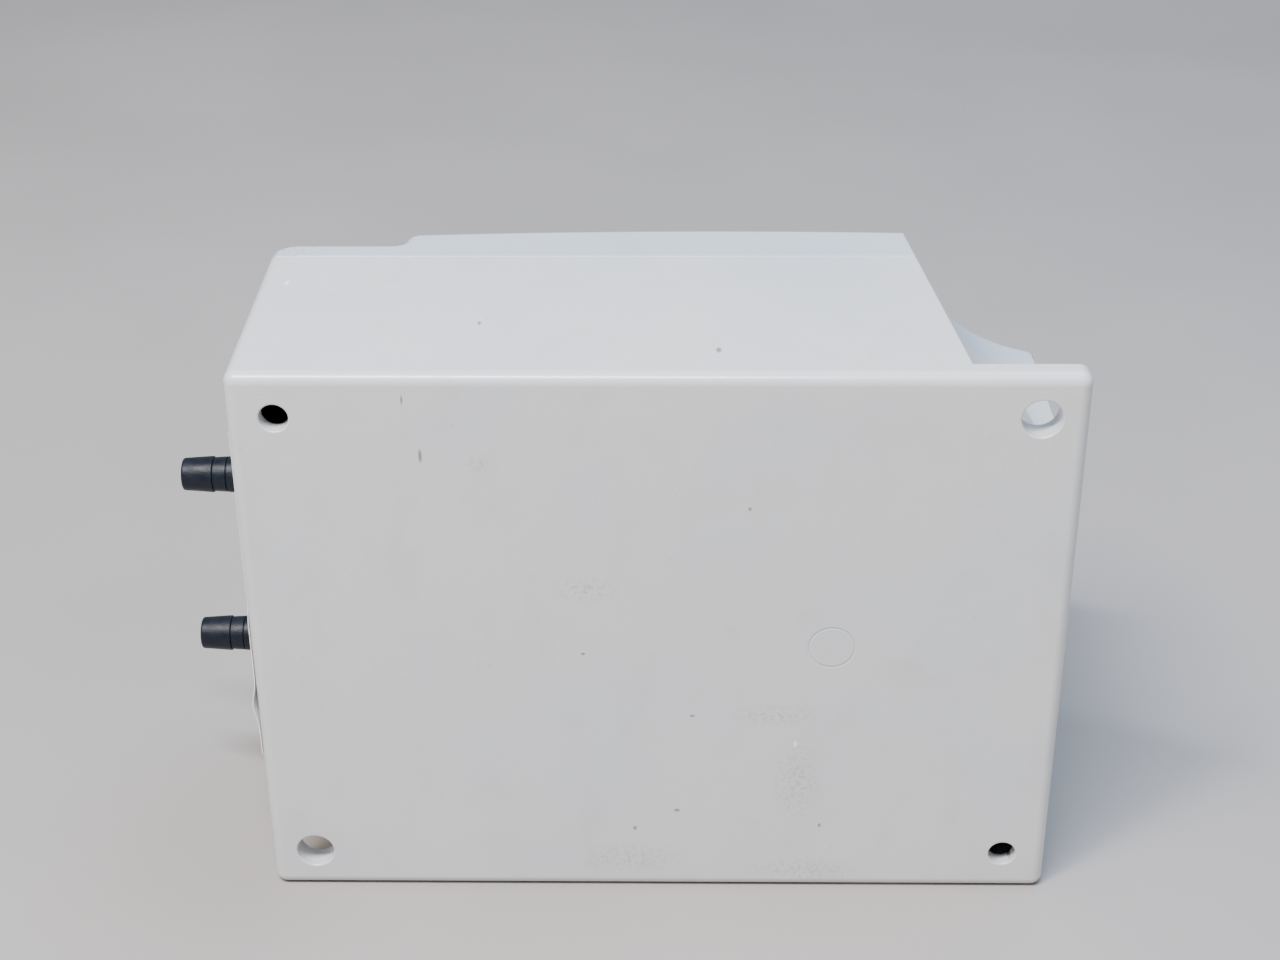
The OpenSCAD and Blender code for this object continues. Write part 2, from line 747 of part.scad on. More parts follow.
module indicator_led()
    color("#5fae62") at(led_at) {
        bar_y(3.6, board_top, board_top + 1);
        bar_y(3, board_top + 1, board_top + 4);
        translate([0, board_top + 4, 0]) sphere(d = 3);
    }

module light_pipe()
    color("#dfe9ec") at(led_at) {
        bar_y(pipe_d, board_top + 7, crown_d - 0.4);
        bar_y(pipe_head_d, crown_d - pipe_head_t, crown_d - 0.4);
    }

// ---- radio receiver ----
module receiver_board()
    color("#2c6e83") at(receiver_at) slab(receiver_w, receiver_t, board_top + 2.6, board_top + 2.6 + receiver_h);

module receiver_can()
    color("#c6c9cc") at([receiver_at[0] - 7, receiver_at[1] + receiver_t / 2 + 1.2])
        slab(13, 2.4, board_top + 7, board_top + 18);

module receiver_pins()
    color("#c9b458") for (p = receiver_pin_places) at(p) {
        slab(0.6, 0.6, pin_tip_y, board_top + 2.6);
        slab(2.4, 2.4, board_top, board_top + 2.5);
    }

module antenna_coil()
    color("#b8722c") at(antenna_at) {
        difference() {
            bar_y(5.6, board_top + 3, board_top + 26);
            bar_y(3.6, board_top + 2, board_top + 27);
        }
        translate([2.3, 0, 0]) bar_y(pin_d, pin_tip_y, board_top + 3.5);
    }

base_shell();
front_lid();
lid_gasket();
lid_screws();
side_label();
cable_grommet_upper();
cable_grommet_lower();
circuit_board();
board_screws();
transformer_core();
transformer_bobbin();
primary_winding();
secondary_winding();
transformer_bolts();
transformer_spacers();
transformer_pins();
relay_open();
relay_close();
mains_terminal_block();
motor_terminal_block();
control_terminal_block();
terminal_screws();
terminal_clamps();
fuse_clips();
fuse_glass();
fuse_caps();
varistor();
smoothing_capacitors();
bridge_rectifier();
voltage_regulator();
heat_sink();
control_chip();
crystal();
dip_switch_body();
dip_slider_1();
dip_slider_2();
dip_slider_3();
dip_slider_4();
open_force_trimmer_body();
open_force_trimmer_rotor();
close_force_trimmer_body();
close_force_trimmer_rotor();
learn_switch_body();
learn_button();
operate_switch_body();
operate_switch_plunger();
operate_button();
button_spring();
button_retainer();
indicator_led();
light_pipe();
receiver_board();
receiver_can();
receiver_pins();
antenna_coil();
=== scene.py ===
import json
import math

import bmesh
import bpy
from mathutils import Matrix, Vector


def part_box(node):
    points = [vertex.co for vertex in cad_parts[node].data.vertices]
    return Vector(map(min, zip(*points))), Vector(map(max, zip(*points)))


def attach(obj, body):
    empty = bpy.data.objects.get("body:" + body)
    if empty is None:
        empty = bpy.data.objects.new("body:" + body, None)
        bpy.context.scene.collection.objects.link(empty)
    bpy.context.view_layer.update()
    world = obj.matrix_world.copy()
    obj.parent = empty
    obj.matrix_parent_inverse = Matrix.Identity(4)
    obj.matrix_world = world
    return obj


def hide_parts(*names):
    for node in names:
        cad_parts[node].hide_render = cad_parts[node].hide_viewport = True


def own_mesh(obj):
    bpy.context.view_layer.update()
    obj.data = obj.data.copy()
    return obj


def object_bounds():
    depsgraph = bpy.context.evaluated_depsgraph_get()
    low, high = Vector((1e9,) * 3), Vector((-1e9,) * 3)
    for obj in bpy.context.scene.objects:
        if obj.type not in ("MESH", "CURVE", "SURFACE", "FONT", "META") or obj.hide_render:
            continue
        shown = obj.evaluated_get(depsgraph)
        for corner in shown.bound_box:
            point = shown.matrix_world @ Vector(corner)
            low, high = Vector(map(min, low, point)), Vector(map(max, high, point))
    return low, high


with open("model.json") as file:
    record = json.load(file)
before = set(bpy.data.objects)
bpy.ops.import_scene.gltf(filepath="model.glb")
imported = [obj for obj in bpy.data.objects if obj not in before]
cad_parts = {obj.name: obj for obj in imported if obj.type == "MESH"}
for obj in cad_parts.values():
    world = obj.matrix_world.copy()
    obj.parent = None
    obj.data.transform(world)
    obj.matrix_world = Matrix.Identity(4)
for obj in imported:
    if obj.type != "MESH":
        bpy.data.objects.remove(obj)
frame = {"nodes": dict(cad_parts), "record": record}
cad_low, cad_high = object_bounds()

MM = 0.001
BODY_OF = {node: body for body, nodes in frame["record"]["behaviour"]["bodies"].items() for node in nodes}
SLOT_OF = {part["node"]: part["material_slot"] for part in frame["record"]["subparts"]}


def corners_of(node):
    """The two corners of a CAD node's box, in mm."""
    return [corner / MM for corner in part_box(node)]


def middle(node):
    """The centre of a CAD node's box, in mm."""
    low, high = corners_of(node)
    return (low + high) / 2


# ---- materials ----
def colour(code):
    """sRGB hex to linear RGBA."""
    channels = [int(code[i:i + 2], 16) / 255 for i in (1, 3, 5)]
    linear = [c / 12.92 if c <= 0.04045 else ((c + 0.055) / 1.055) ** 2.4 for c in channels]
    return (*linear, 1.0)


def add(tree, kind, inputs=None, **settings):
    """Adds a node. Settings are its properties, inputs its values, or the sockets or nodes they come from."""
    node = tree.nodes.new(kind)
    for name, value in settings.items():
        setattr(node, name, value)
    for name, value in (inputs or {}).items():
        socket = node.inputs[name]
        if isinstance(value, bpy.types.Node):
            value = value.outputs[0]
        if isinstance(value, bpy.types.NodeSocket):
            tree.links.new(value, socket)
        else:
            socket.default_value = value
    return node


def new_material(name, **shader_values):
    """A material with one Principled shader, whose even values sit on its own sockets."""
    material = bpy.data.materials.new(name)
    material.use_nodes = True
    tree = material.node_tree
    shader = tree.nodes["Principled BSDF"]
    for socket, value in shader_values.items():
        shader.inputs[socket.replace("_", " ")].default_value = value
    position = add(tree, "ShaderNodeTexCoord").outputs["Object"]
    return material, tree, shader, position


def patches(tree, position, size_mm, detail=3.0, stretch=(1, 1, 1), low=0.35, high=0.65):
    """A 0 to 1 pattern of soft patches of about the given size."""
    mapped = add(tree, "ShaderNodeMapping", {"Vector": position, "Scale": stretch})
    clouds = add(tree, "ShaderNodeTexNoise", {"Vector": mapped, "Scale": 1 / (size_mm * MM),
                                              "Detail": detail, "Roughness": 0.55})
    return add(tree, "ShaderNodeMapRange", {"Value": clouds.outputs["Fac"], "From Min": low,
                                            "From Max": high}).outputs[0]


def tint(tree, factor, base, other):
    """Blends two colours, or a colour socket and a colour, by a factor."""
    return add(tree, "ShaderNodeMix", {0: factor, 6: base, 7: other}, data_type="RGBA").outputs[2]


def value_range(tree, factor, low, high):
    return add(tree, "ShaderNodeMapRange", {"Value": factor, "To Min": low, "To Max": high}).outputs[0]


def maths(tree, operation, a, b=0.0):
    return add(tree, "ShaderNodeMath", {0: a, 1: b}, operation=operation).outputs[0]


def times(tree, a, b):
    return maths(tree, "MULTIPLY", a, b)


def distance(tree, position, place_mm, sizes_mm):
    """Distance from a place, with each axis measured in a size of its own."""
    moved = add(tree, "ShaderNodeVectorMath", {0: position, 1: [p * MM for p in place_mm]}, operation="SUBTRACT")
    scaled = add(tree, "ShaderNodeVectorMath", {0: moved, 1: [1 / (size * MM) for size in sizes_mm]},
                 operation="MULTIPLY")
    return add(tree, "ShaderNodeVectorMath", {0: scaled}, operation="LENGTH").outputs["Value"]


def bump(tree, shader, height, depth_mm, strength=1.0):
    relief = add(tree, "ShaderNodeBump", {"Height": height, "Distance": depth_mm * MM, "Strength": strength})
    tree.links.new(relief.outputs[0], shader.inputs["Normal"])


def finished(name, base, second, roughness, patch_mm=6, grain_mm=0.5, grain_depth_mm=0.02, share=0.35,
             rough_spread=0.08, **shader_values):
    """A surface with two close tones in soft patches, uneven gloss and a fine grain."""
    material, tree, shader, position = new_material(name, **shader_values)
    cloud = patches(tree, position, patch_mm)
    grain = patches(tree, position, grain_mm, detail=2, low=0.2, high=0.8)
    tone = tint(tree, times(tree, cloud, share), colour(base), colour(second))
    tree.links.new(tone, shader.inputs["Base Color"])
    gloss = value_range(tree, cloud, roughness - rough_spread / 2, roughness + rough_spread / 2)
    tree.links.new(gloss, shader.inputs["Roughness"])
    bump(tree, shader, grain, grain_depth_mm)
    return material


def spots(tree, position, places, soft=0.35):
    """A mask that is 1 inside flat discs and 0 outside: each is (x, y, z, radius in x, radius in z) in mm."""
    total = 0.0
    for x, y, z, wide, tall in places:
        reach = distance(tree, position, (x, y, z), (wide, 2 * max(wide, tall), tall))
        disc = add(tree, "ShaderNodeMapRange", {"Value": reach, "From Min": 1 - soft, "From Max": 1 + soft,
                                                "To Min": 1.0, "To Max": 0.0})
        total = maths(tree, "MAXIMUM", total, disc.outputs[0])
    return total


def moulded_abs(name, base, cooler, roughness, dark_marks=(), faint_marks=(), pale_marks=(), ring=None):
    """Moulded ABS: satin with a fine spark-eroded grain, slow waves of sink, handling smudges and small nicks."""
    material, tree, shader, position = new_material(name, IOR=1.54, Coat_Weight=0.3, Coat_Roughness=0.14)
    sink = patches(tree, position, 38, detail=2)
    smear = patches(tree, position, 9, detail=5, stretch=(1, 1, 0.7), low=0.52, high=0.75)
    grain = patches(tree, position, 0.45, detail=2, low=0.2, high=0.8)
    # rubbed-in dirt: sparse warm freckles under a millimetre
    freckle = patches(tree, position, 1.6, detail=1, low=0.73, high=0.78)
    broken = patches(tree, position, 0.9, low=0.48, high=0.6)
    tone = tint(tree, sink, colour(base), colour(cooler))
    layers = [(smear, 0.22, "#b9b3a9"), (freckle, 0.16, "#8d8272"),
              (times(tree, spots(tree, position, faint_marks, soft=0.8), broken), 0.4, "#9a8d78"),
              (spots(tree, position, dark_marks), 0.75, "#6d6253"),
              (spots(tree, position, pale_marks), 0.9, "#f4f5f4")]
    for mask, share, code in layers:
        tone = tint(tree, times(tree, mask, share), tone, colour(code))
    tree.links.new(tone, shader.inputs["Base Color"])
    tree.links.new(value_range(tree, smear, roughness, roughness + 0.1), shader.inputs["Roughness"])
    height = times(tree, grain, 0.35)
    if ring:
        # witness ring of an ejector sleeve: a shallow groove round a disc that stands a hair proud
        x, z, radius = ring
        reach = distance(tree, position, (x, 0, z), (1, 1, 1))
        off_ring = maths(tree, "ABSOLUTE", maths(tree, "SUBTRACT", reach, radius))
        groove = add(tree, "ShaderNodeMapRange", {"Value": off_ring, "From Min": 0.05, "From Max": 0.28})
        height = maths(tree, "ADD", height, times(tree, groove.outputs[0], 3.0))
    bump(tree, shader, height, 0.03)
    return material


def bands(tree, position, axis, pitch_mm):
    """Even bands across an axis, 0 to 1, as in stacked sheets or wound wire."""
    wave = add(tree, "ShaderNodeTexWave", {"Vector": position, "Scale": math.pi / 10 / (pitch_mm * MM)},
               bands_direction=axis, wave_profile="SIN")
    return wave.outputs["Fac"]


def laminated(name, base, gap, roughness, sheet_mm):
    """Varnished silicon-steel sheets stacked along Y: bright cut edges with dark joints between them."""
    material, tree, shader, position = new_material(name, Metallic=0.6)
    sheets = bands(tree, position, "Y", sheet_mm)
    joint = add(tree, "ShaderNodeMapRange", {"Value": sheets, "From Min": 0.15, "From Max": 0.5})
    cloud = patches(tree, position, 4)
    varnish = tint(tree, times(tree, cloud, 0.5), colour(base), colour("#2e2a27"))
    tree.links.new(tint(tree, joint.outputs[0], colour(gap), varnish), shader.inputs["Base Color"])
    tree.links.new(value_range(tree, cloud, roughness, roughness + 0.15), shader.inputs["Roughness"])
    bump(tree, shader, joint.outputs[0], 0.08)
    return material


MATERIALS = {
    # Light grey ABS of the shell: warm by a hair on its broad back, with freckles and nicks from handling
    "base_plastic": moulded_abs(
        "moulded_abs_light_grey", "#d2d1cf", "#cdced0", 0.34,
        dark_marks=[(-44.2, 0, 42.7, 0.35, 1.3), (-47, 0, 54.4, 0.2, 0.9), (17.5, 0, 31.4, 0.3, 0.4),
                    (-14.6, 0, -1.4, 0.4, 0.3), (6.9, 0, -16.1, 0.45, 0.3), (3.9, 0, -39.6, 0.6, 0.35),
                    (-4.7, 0, -44.2, 0.35, 0.5), (33.1, 0, -43.3, 0.3, 0.5), (11.5, 10.7, 59.5, 0.5, 0.4),
                    (-34.2, 22.5, 59.5, 0.35, 0.35)],
        faint_marks=[(-13.9, 0, 13.4, 5, 2.2), (23.4, 0, -16.1, 6, 1.8), (28, 0, -32, 3, 7),
                     (-33.4, 0, 41.2, 1.5, 1.2), (-6, 0, -52, 7, 2.5), (30, 0, -55, 9, 2)],
        pale_marks=[(27.6, 0, -22.9, 0.35, 0.8), (-74.1, 41.3, 59.5, 0.45, 0.5)],
        ring=(34.1, 0.2, 4.5)),
    # The lid is a later batch of the same ABS, a little bluer and darker
    "lid_plastic": moulded_abs("moulded_abs_lid_grey", "#c3cad1", "#bdc5cd", 0.34,
                               faint_marks=[(-77, 57, 59.5, 6, 2.5)]),
    # Mid grey ABS of the push button, a touch glossier where fingers polish it
    "button_plastic": finished("moulded_abs_mid_grey", "#747b82", "#6a7178", 0.38, patch_mm=5, grain_mm=0.4),
    # Moulded synthetic rubber: blue-black and satin, with a bloom of fine dust
    "inlet_rubber": finished("moulded_rubber_black", "#050b15", "#101a28", 0.46, patch_mm=2.5, grain_mm=0.3,
        grain_depth_mm=0.03, share=0.5, rough_spread=0.12, Specular_IOR_Level=0.3),
    # Closed-cell foam strip, dull and pitted
    "gasket_foam": finished("closed_cell_foam", "#303336", "#1f2123", 0.9, patch_mm=3, grain_mm=0.35,
        grain_depth_mm=0.15),
    # Blank vinyl label stock, smooth with the slight orange peel of its adhesive
    "label_film": finished("vinyl_film_white", "#fbf8f1", "#f2eee5", 0.3, patch_mm=8, grain_mm=1.2,
        grain_depth_mm=0.01),
    # Bright zinc plate over steel, lightly clouded
    "zinc_steel": finished("zinc_plated_steel", "#c3c5c7", "#a4a7aa", 0.32, patch_mm=1.5, grain_mm=0.25,
        Metallic=1.0),
    # Glass-epoxy board under green solder mask
    "board_laminate": finished("solder_mask_green", "#1f5a35", "#2d7248", 0.35, patch_mm=3, grain_mm=0.6),
    # The same mask where it lies over copper: lighter, and a little yellower
    "mask_over_copper": finished("solder_mask_over_copper", "#357a45", "#3f8650", 0.3, patch_mm=4,
        grain_mm=0.6),
    # Screen-printed epoxy ink, chalk white
    "legend_ink": finished("epoxy_ink_white", "#d9dcd6", "#c4c8c0", 0.6, patch_mm=3, grain_mm=0.3),
    # The transformer core: varnished sheets, brown-black, half a millimetre each
    "core_steel": laminated("varnished_laminations", "#57504a", "#1d1a18", 0.45, 0.5),
    # Natural nylon, milky
    "bobbin_nylon": finished("natural_nylon", "#dcd6c4", "#cfc8b3", 0.45, patch_mm=5, Subsurface_Weight=0.1),
    # The same nylon with a white pigment, for small sliders and rotors
    "white_nylon": finished("white_nylon", "#eeece4", "#e2dfd4", 0.4, patch_mm=2),
    # Enamelled copper wire: the heavy gauge amber, the fine one redder
    "primary_tape": finished("enamelled_copper_fine", "#b0602c", "#8e4519", 0.3, patch_mm=2, Metallic=0.9),
    "secondary_tape": finished("enamelled_copper_heavy", "#c58a3a", "#a86a24", 0.28, patch_mm=3, Metallic=0.9),
    # Tinned leads and clips, a soft grey shine
    "tin": finished("tinned_metal", "#cfcfcb", "#b2b3b0", 0.35, patch_mm=1.2, grain_mm=0.2, Metallic=1.0),
    # Dark blue-black PBT of the relay cases
    "relay_case": finished("moulded_pbt_dark", "#26313d", "#1f2932", 0.4, patch_mm=4, grain_mm=0.35),
    # Green polyamide of the terminal blocks
    "terminal_plastic": finished("moulded_polyamide_green", "#2f7f50", "#27704a", 0.42, patch_mm=3,
        grain_mm=0.35),
    # Turned brass of the clamps, with a dull patch here and there
    "brass": finished("bright_brass", "#c9a95a", "#b08d42", 0.3, patch_mm=1.5, Metallic=1.0),
    # Nickel plate, smooth and slightly warm
    "terminal_steel": finished("nickel_plate", "#cccdcc", "#b6b8b8", 0.22, patch_mm=2, Metallic=1.0),
    # Clear glass tube with the faintest green
    "fuse_glass": finished("clear_glass_tube", "#eef6f3", "#e6f0ec", 0.06, patch_mm=5, grain_mm=2,
        Transmission_Weight=1.0, IOR=1.5),
    # Dipped epoxy, blue, thick and faintly lumpy
    "varistor_epoxy": finished("dipped_epoxy_blue", "#2c5ea6", "#234d8d", 0.35, patch_mm=2.5, grain_mm=0.8,
        grain_depth_mm=0.06),
    # Shrunk PVC sleeve, navy and glossy
    "capacitor_sleeve": finished("shrunk_sleeve_navy", "#22304c", "#1b2740", 0.28, patch_mm=4, grain_mm=1.5),
    # Moulding compound of chips, matt and finely pitted
    "moulded_epoxy": finished("moulded_epoxy_black", "#2a2b2d", "#212224", 0.55, patch_mm=2, grain_mm=0.3,
        grain_depth_mm=0.03),
    # Extruded aluminium with a black anodised skin
    "sink_aluminium": finished("black_anodised_aluminium", "#34363a", "#292b2e", 0.42, patch_mm=3,
        grain_mm=0.4, Metallic=0.7),
    # PBT in three colours, satin from the mould: red of the code switch, blue and black of trimmers and keys
    "dip_plastic": finished("moulded_pbt_red", "#b02a2c", "#9a2224", 0.4, patch_mm=2),
    "trimmer_plastic": finished("moulded_pbt_blue", "#2d5d9f", "#255090", 0.38, patch_mm=2),
    "switch_plastic": finished("moulded_pbt_black", "#2c2d30", "#232427", 0.45, patch_mm=2),
    # Amber ABS of the small key top
    "learn_cap": finished("moulded_abs_amber", "#d69a3a", "#c4882e", 0.38, patch_mm=1.5),
    # Drawn spring wire, bright
    "spring_steel": finished("bright_spring_wire", "#c8cacc", "#a9acaf", 0.25, patch_mm=1, Metallic=1.0),
    # Green tinted epoxy, half clear
    "led_epoxy": finished("tinted_epoxy_green", "#5fb866", "#4fa757", 0.15, patch_mm=1.5,
        Transmission_Weight=0.5),
    # Clear acrylic with polished ends
    "clear_acrylic": finished("clear_acrylic", "#f0f6f7", "#e6eef0", 0.08, patch_mm=3,
        Transmission_Weight=0.95, IOR=1.49),
    # Blue solder mask of the receiver board
    "receiver_laminate": finished("solder_mask_blue", "#245f78", "#1d5068", 0.35, patch_mm=3),
    # Tinned sheet steel, lightly brushed by handling
    "can_steel": finished("tinned_steel_can", "#c4c6c7", "#adb0b1", 0.3, patch_mm=2.5, Metallic=1.0),
}
# slots that share a material
MATERIALS["nickel"] = MATERIALS["terminal_steel"]
MATERIALS["copper_wire"] = MATERIALS["primary_tape"]


# ---- pieces ----
def plain_mesh(piece):
    """Freezes a piece's modifiers into its mesh."""
    graph = bpy.context.evaluated_depsgraph_get()
    mesh = bpy.data.meshes.new_from_object(piece.evaluated_get(graph), preserve_all_data_layers=True,
                                           depsgraph=graph)
    piece.modifiers.clear()
    piece.data = mesh
    return piece


def new_piece(name, data):
    """Adds an object to the scene: a mesh, a lamp or a camera."""
    piece = bpy.data.objects.new(name, data)
    bpy.context.scene.collection.objects.link(piece)
    return piece


def made(name, shape):
    """A piece of a shape, which it uses up."""
    mesh = bpy.data.meshes.new(name)
    shape.to_mesh(mesh)
    shape.free()
    return new_piece(name, mesh)


def taken_back(*pieces):
    """One shape of several pieces, which it removes."""
    shape = bmesh.new()
    for piece in pieces:
        shape.from_mesh(piece.data)
        bpy.data.objects.remove(piece)
    return shape


def cad_shape(node):
    """A CAD node's mesh with its doubled points welded."""
    shape = bmesh.new()
    shape.from_mesh(frame["nodes"][node].data)
    bmesh.ops.remove_doubles(shape, verts=shape.verts, dist=2e-6)
    return shape


def even_normals(shape):
    bmesh.ops.recalc_face_normals(shape, faces=shape.faces)
    return shape


def smooth_faces(piece, crease_degrees):
    """Smooth shading that keeps the broad flat faces flat and creases past an angle."""
    piece.data.shade_smooth()
    piece.data.set_sharp_from_angle(angle=math.radians(crease_degrees))
    level = piece.modifiers.new("level", "WEIGHTED_NORMAL")
    level.keep_sharp = True
    level.weight = 100
    return plain_mesh(piece)


def fit_piece(piece, node, crease=38, slot=None, finish=None):
    """Smooths a finished piece and puts it in the place of its CAD node, or of one finish of it."""
    smooth_faces(piece, crease)
    slot = slot or SLOT_OF[node]
    piece.data.materials.clear()
    piece.data.materials.append(MATERIALS[finish or slot])
    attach(piece, BODY_OF[node])
    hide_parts(node)
    return piece


def eased(piece, ease_mm, by="ANGLE", clamp=True):
    """Eases a piece's sharp edges, found by their angle or by a weight."""
    ease = piece.modifiers.new("ease", "BEVEL")
    ease.limit_method = by
    ease.angle_limit = math.radians(SHARP_DEGREES)
    ease.width = ease_mm * MM
    ease.segments = 2
    ease.use_clamp_overlap = clamp
    return plain_mesh(piece)


def cut_away(piece, *shapes, operation="DIFFERENCE"):
    """Takes closed shapes out of a piece, or keeps only what is inside them."""
    cutters = [made("cutter", shape) for shape in shapes]
    for cutter in cutters:
        tool = piece.modifiers.new("cut", "BOOLEAN")
        tool.operation = operation
        tool.solver = "MANIFOLD"
        tool.object = cutter
    plain_mesh(piece)
    for cutter in cutters:
        bpy.data.objects.remove(cutter)
    return piece


SHARP_DEGREES = 32      # edges past this angle are eased
# pieces whose closest edges leave little room for easing
CROWDED = {"transformer_bobbin", "transformer_core", "heat_sink", "circuit_board"}


def eased_piece(node, ease_mm, left_sharp=None, envelope=None):
    """The CAD shape with its moulded or ground edges eased, apart from edges that left_sharp picks,
    and trimmed to an envelope if there is one."""
    shape = cad_shape(node)
    bmesh.ops.dissolve_limit(shape, angle_limit=math.radians(0.2), verts=shape.verts, edges=shape.edges)
    weight = shape.edges.layers.float.new("bevel_weight_edge")
    for edge in shape.edges:
        sharp = len(edge.link_faces) == 2 and edge.calc_face_angle() > math.radians(SHARP_DEGREES)
        edge[weight] = 1.0 if sharp and not (left_sharp and left_sharp(edge)) else 0.0
    piece = eased(made(node + "_piece", shape), ease_mm, by="WEIGHT", clamp=node in CROWDED)
    if envelope:
        cut_away(piece, envelope, operation="INTERSECT")
    return fit_piece(piece, node)


# how far the edges of each node are eased, in mm
EASE_MM = {
    "base_shell": 0.35, "lid_gasket": 0.1, "circuit_board": 0.08, "transformer_core": 0.15,
    "transformer_bobbin": 0.2, "relay_open": 0.5, "relay_close": 0.5, "mains_terminal_block": 0.2,
    "motor_terminal_block": 0.2, "control_terminal_block": 0.2, "terminal_screws": 0.1,
    "terminal_clamps": 0.08, "fuse_clips": 0.06, "heat_sink": 0.15, "crystal": 0.4, "dip_switch_body": 0.2,
    "dip_slider_1": 0.1, "dip_slider_2": 0.1, "dip_slider_3": 0.1, "dip_slider_4": 0.1,
    "open_force_trimmer_body": 0.3, "open_force_trimmer_rotor": 0.15, "close_force_trimmer_body": 0.3,
    "close_force_trimmer_rotor": 0.15, "learn_switch_body": 0.2, "learn_button": 0.25,
    "operate_switch_body": 0.3, "operate_switch_plunger": 0.3, "button_retainer": 0.1,
    "receiver_board": 0.08, "receiver_can": 0.2, "receiver_pins": 0.05, "transformer_bolts": 0.15,
    "transformer_spacers": 0.2, "indicator_led": 0.1, "light_pipe": 0.2, "fuse_glass": 0.1,
    "transformer_pins": 0.1,
}


def inside_shell(edge):
    """Edges of the shell's inside, where posts run into the walls, which stay crisp."""
    wall = 1.8 * MM
    return all(0.5 * MM < v.co.y < 53.6 * MM and abs(v.co.x) < cad_high.x - wall and abs(v.co.z) < cad_high.z - wall
               for v in edge.verts)


for node, ease_mm in EASE_MM.items():
    eased_piece(node, ease_mm, left_sharp=inside_shell if node == "base_shell" else None)


# ---- inlets and label ----
def rounded_corner(before, corner, after, radius, count=4):
    """Points that round one corner of a profile."""
    to_before = (before - corner).normalized()
    to_after = (after - corner).normalized()
    half_angle = to_before.angle(to_after) / 2
    reach = min(radius / math.tan(half_angle), 0.48 * (before - corner).length, 0.48 * (after - corner).length)
    start, end = corner + to_before * reach, corner + to_after * reach
    points = []
    for i in range(count + 1):
        t = i / count
        points.append((1 - t) ** 2 * start + 2 * t * (1 - t) * corner + t ** 2 * end)
    return points


def turned(profile, segments=72):
    """A closed profile of (distance along the axis, radius, corner radius) turned about the X axis, in mm."""
    flat = []
    count = len(profile)
    for i, (u, r, corner) in enumerate(profile):
        here = Vector((u, r))
        before = Vector(profile[i - 1][:2])
        after = Vector(profile[(i + 1) % count][:2])
        flat += rounded_corner(before, here, after, corner) if corner else [here]
    shape = bmesh.new()
    rings = []
    for s in range(segments):
        t = 2 * math.pi * s / segments
        rings.append([shape.verts.new((p.x * MM, p.y * math.cos(t) * MM, p.y * math.sin(t) * MM)) for p in flat])
    for s in range(segments):
        one, two = rings[s], rings[(s + 1) % segments]
        for i in range(len(flat)):
            j = (i + 1) % len(flat)
            shape.faces.new((one[i], one[j], two[j], two[i]))
    return even_normals(shape)


def moved_to(shape, place):
    """Moves every point of a shape as place says, and turns its faces outwards again."""
    for vert in shape.verts:
        vert.co = place(vert.co)
    return even_normals(shape)


def solid_turned(profile, segments, place):
    """A turned shape that is solid up to its axis."""
    shape = turned(profile, segments)
    bmesh.ops.remove_doubles(shape, verts=shape.verts, dist=1e-6)
    bmesh.ops.delete(shape, geom=[e for e in shape.edges if not e.link_faces], context="EDGES")
    return moved_to(shape, place)


def cable_inlet(node):
    """A stepped rubber inlet: a nose that widens to a sharp lip, then two more cones down to the wall."""
    low, high = corners_of(node)
    centre = middle(node) * MM
    reach = -cad_high.x / MM - low.x
    inside = high.x + cad_high.x / MM
    bore, tip, lip, neck, hole, flange = 2.1, 3.28, 3.7, 3.44, 3.98, 5.5
    groove = neck - 0.2
    nose_end = reach - 6.3
    ring_end = nose_end - 2.8
    profile = [(-inside, bore, 0.2), (-inside, flange, 0.4), (-3.0, flange, 0.3), (-3.0, hole, 0), (0.01, hole, 0),
               (0.01, flange, 0.3), (1.3, flange - 0.3, 0.5), (1.3, lip - 0.05, 0.1), (4.2, neck, 0.1),
               (4.25, lip, 0.15), (ring_end - 0.12, lip - 0.04, 0.15), (ring_end - 0.08, groove, 0.05),
               (ring_end + 0.05, groove, 0.05), (ring_end + 0.1, lip - 0.1, 0.12), (nose_end - 0.12, neck, 0.1),
               (nose_end - 0.08, groove, 0.05), (nose_end, groove, 0.05), (nose_end + 0.02, lip, 0.18),
               (reach, tip, 0.55), (reach, bore, 0.25)]
    shape = moved_to(turned(profile), lambda co: Vector((-cad_high.x - co.x, centre.y + co.y, centre.z + co.z)))
    return fit_piece(made(node + "_piece", shape), node, 30)


def lift(y_mm, z_mm):
    """How far the label stands off the wall: its rear edge has let go beside the inlets."""
    loose = 0.32 * min(max((8 - z_mm) / 4, 0.0), 1.0) * min(max((z_mm + 34) / 6, 0.0), 1.0)
    blister = 0.85 * math.exp(-((z_mm + 15.8) / 3.4) ** 2)
    curl = max(0.0, 1 - (y_mm - 2.6) / 9) ** 1.5
    return 0.02 + (loose + blister) * curl


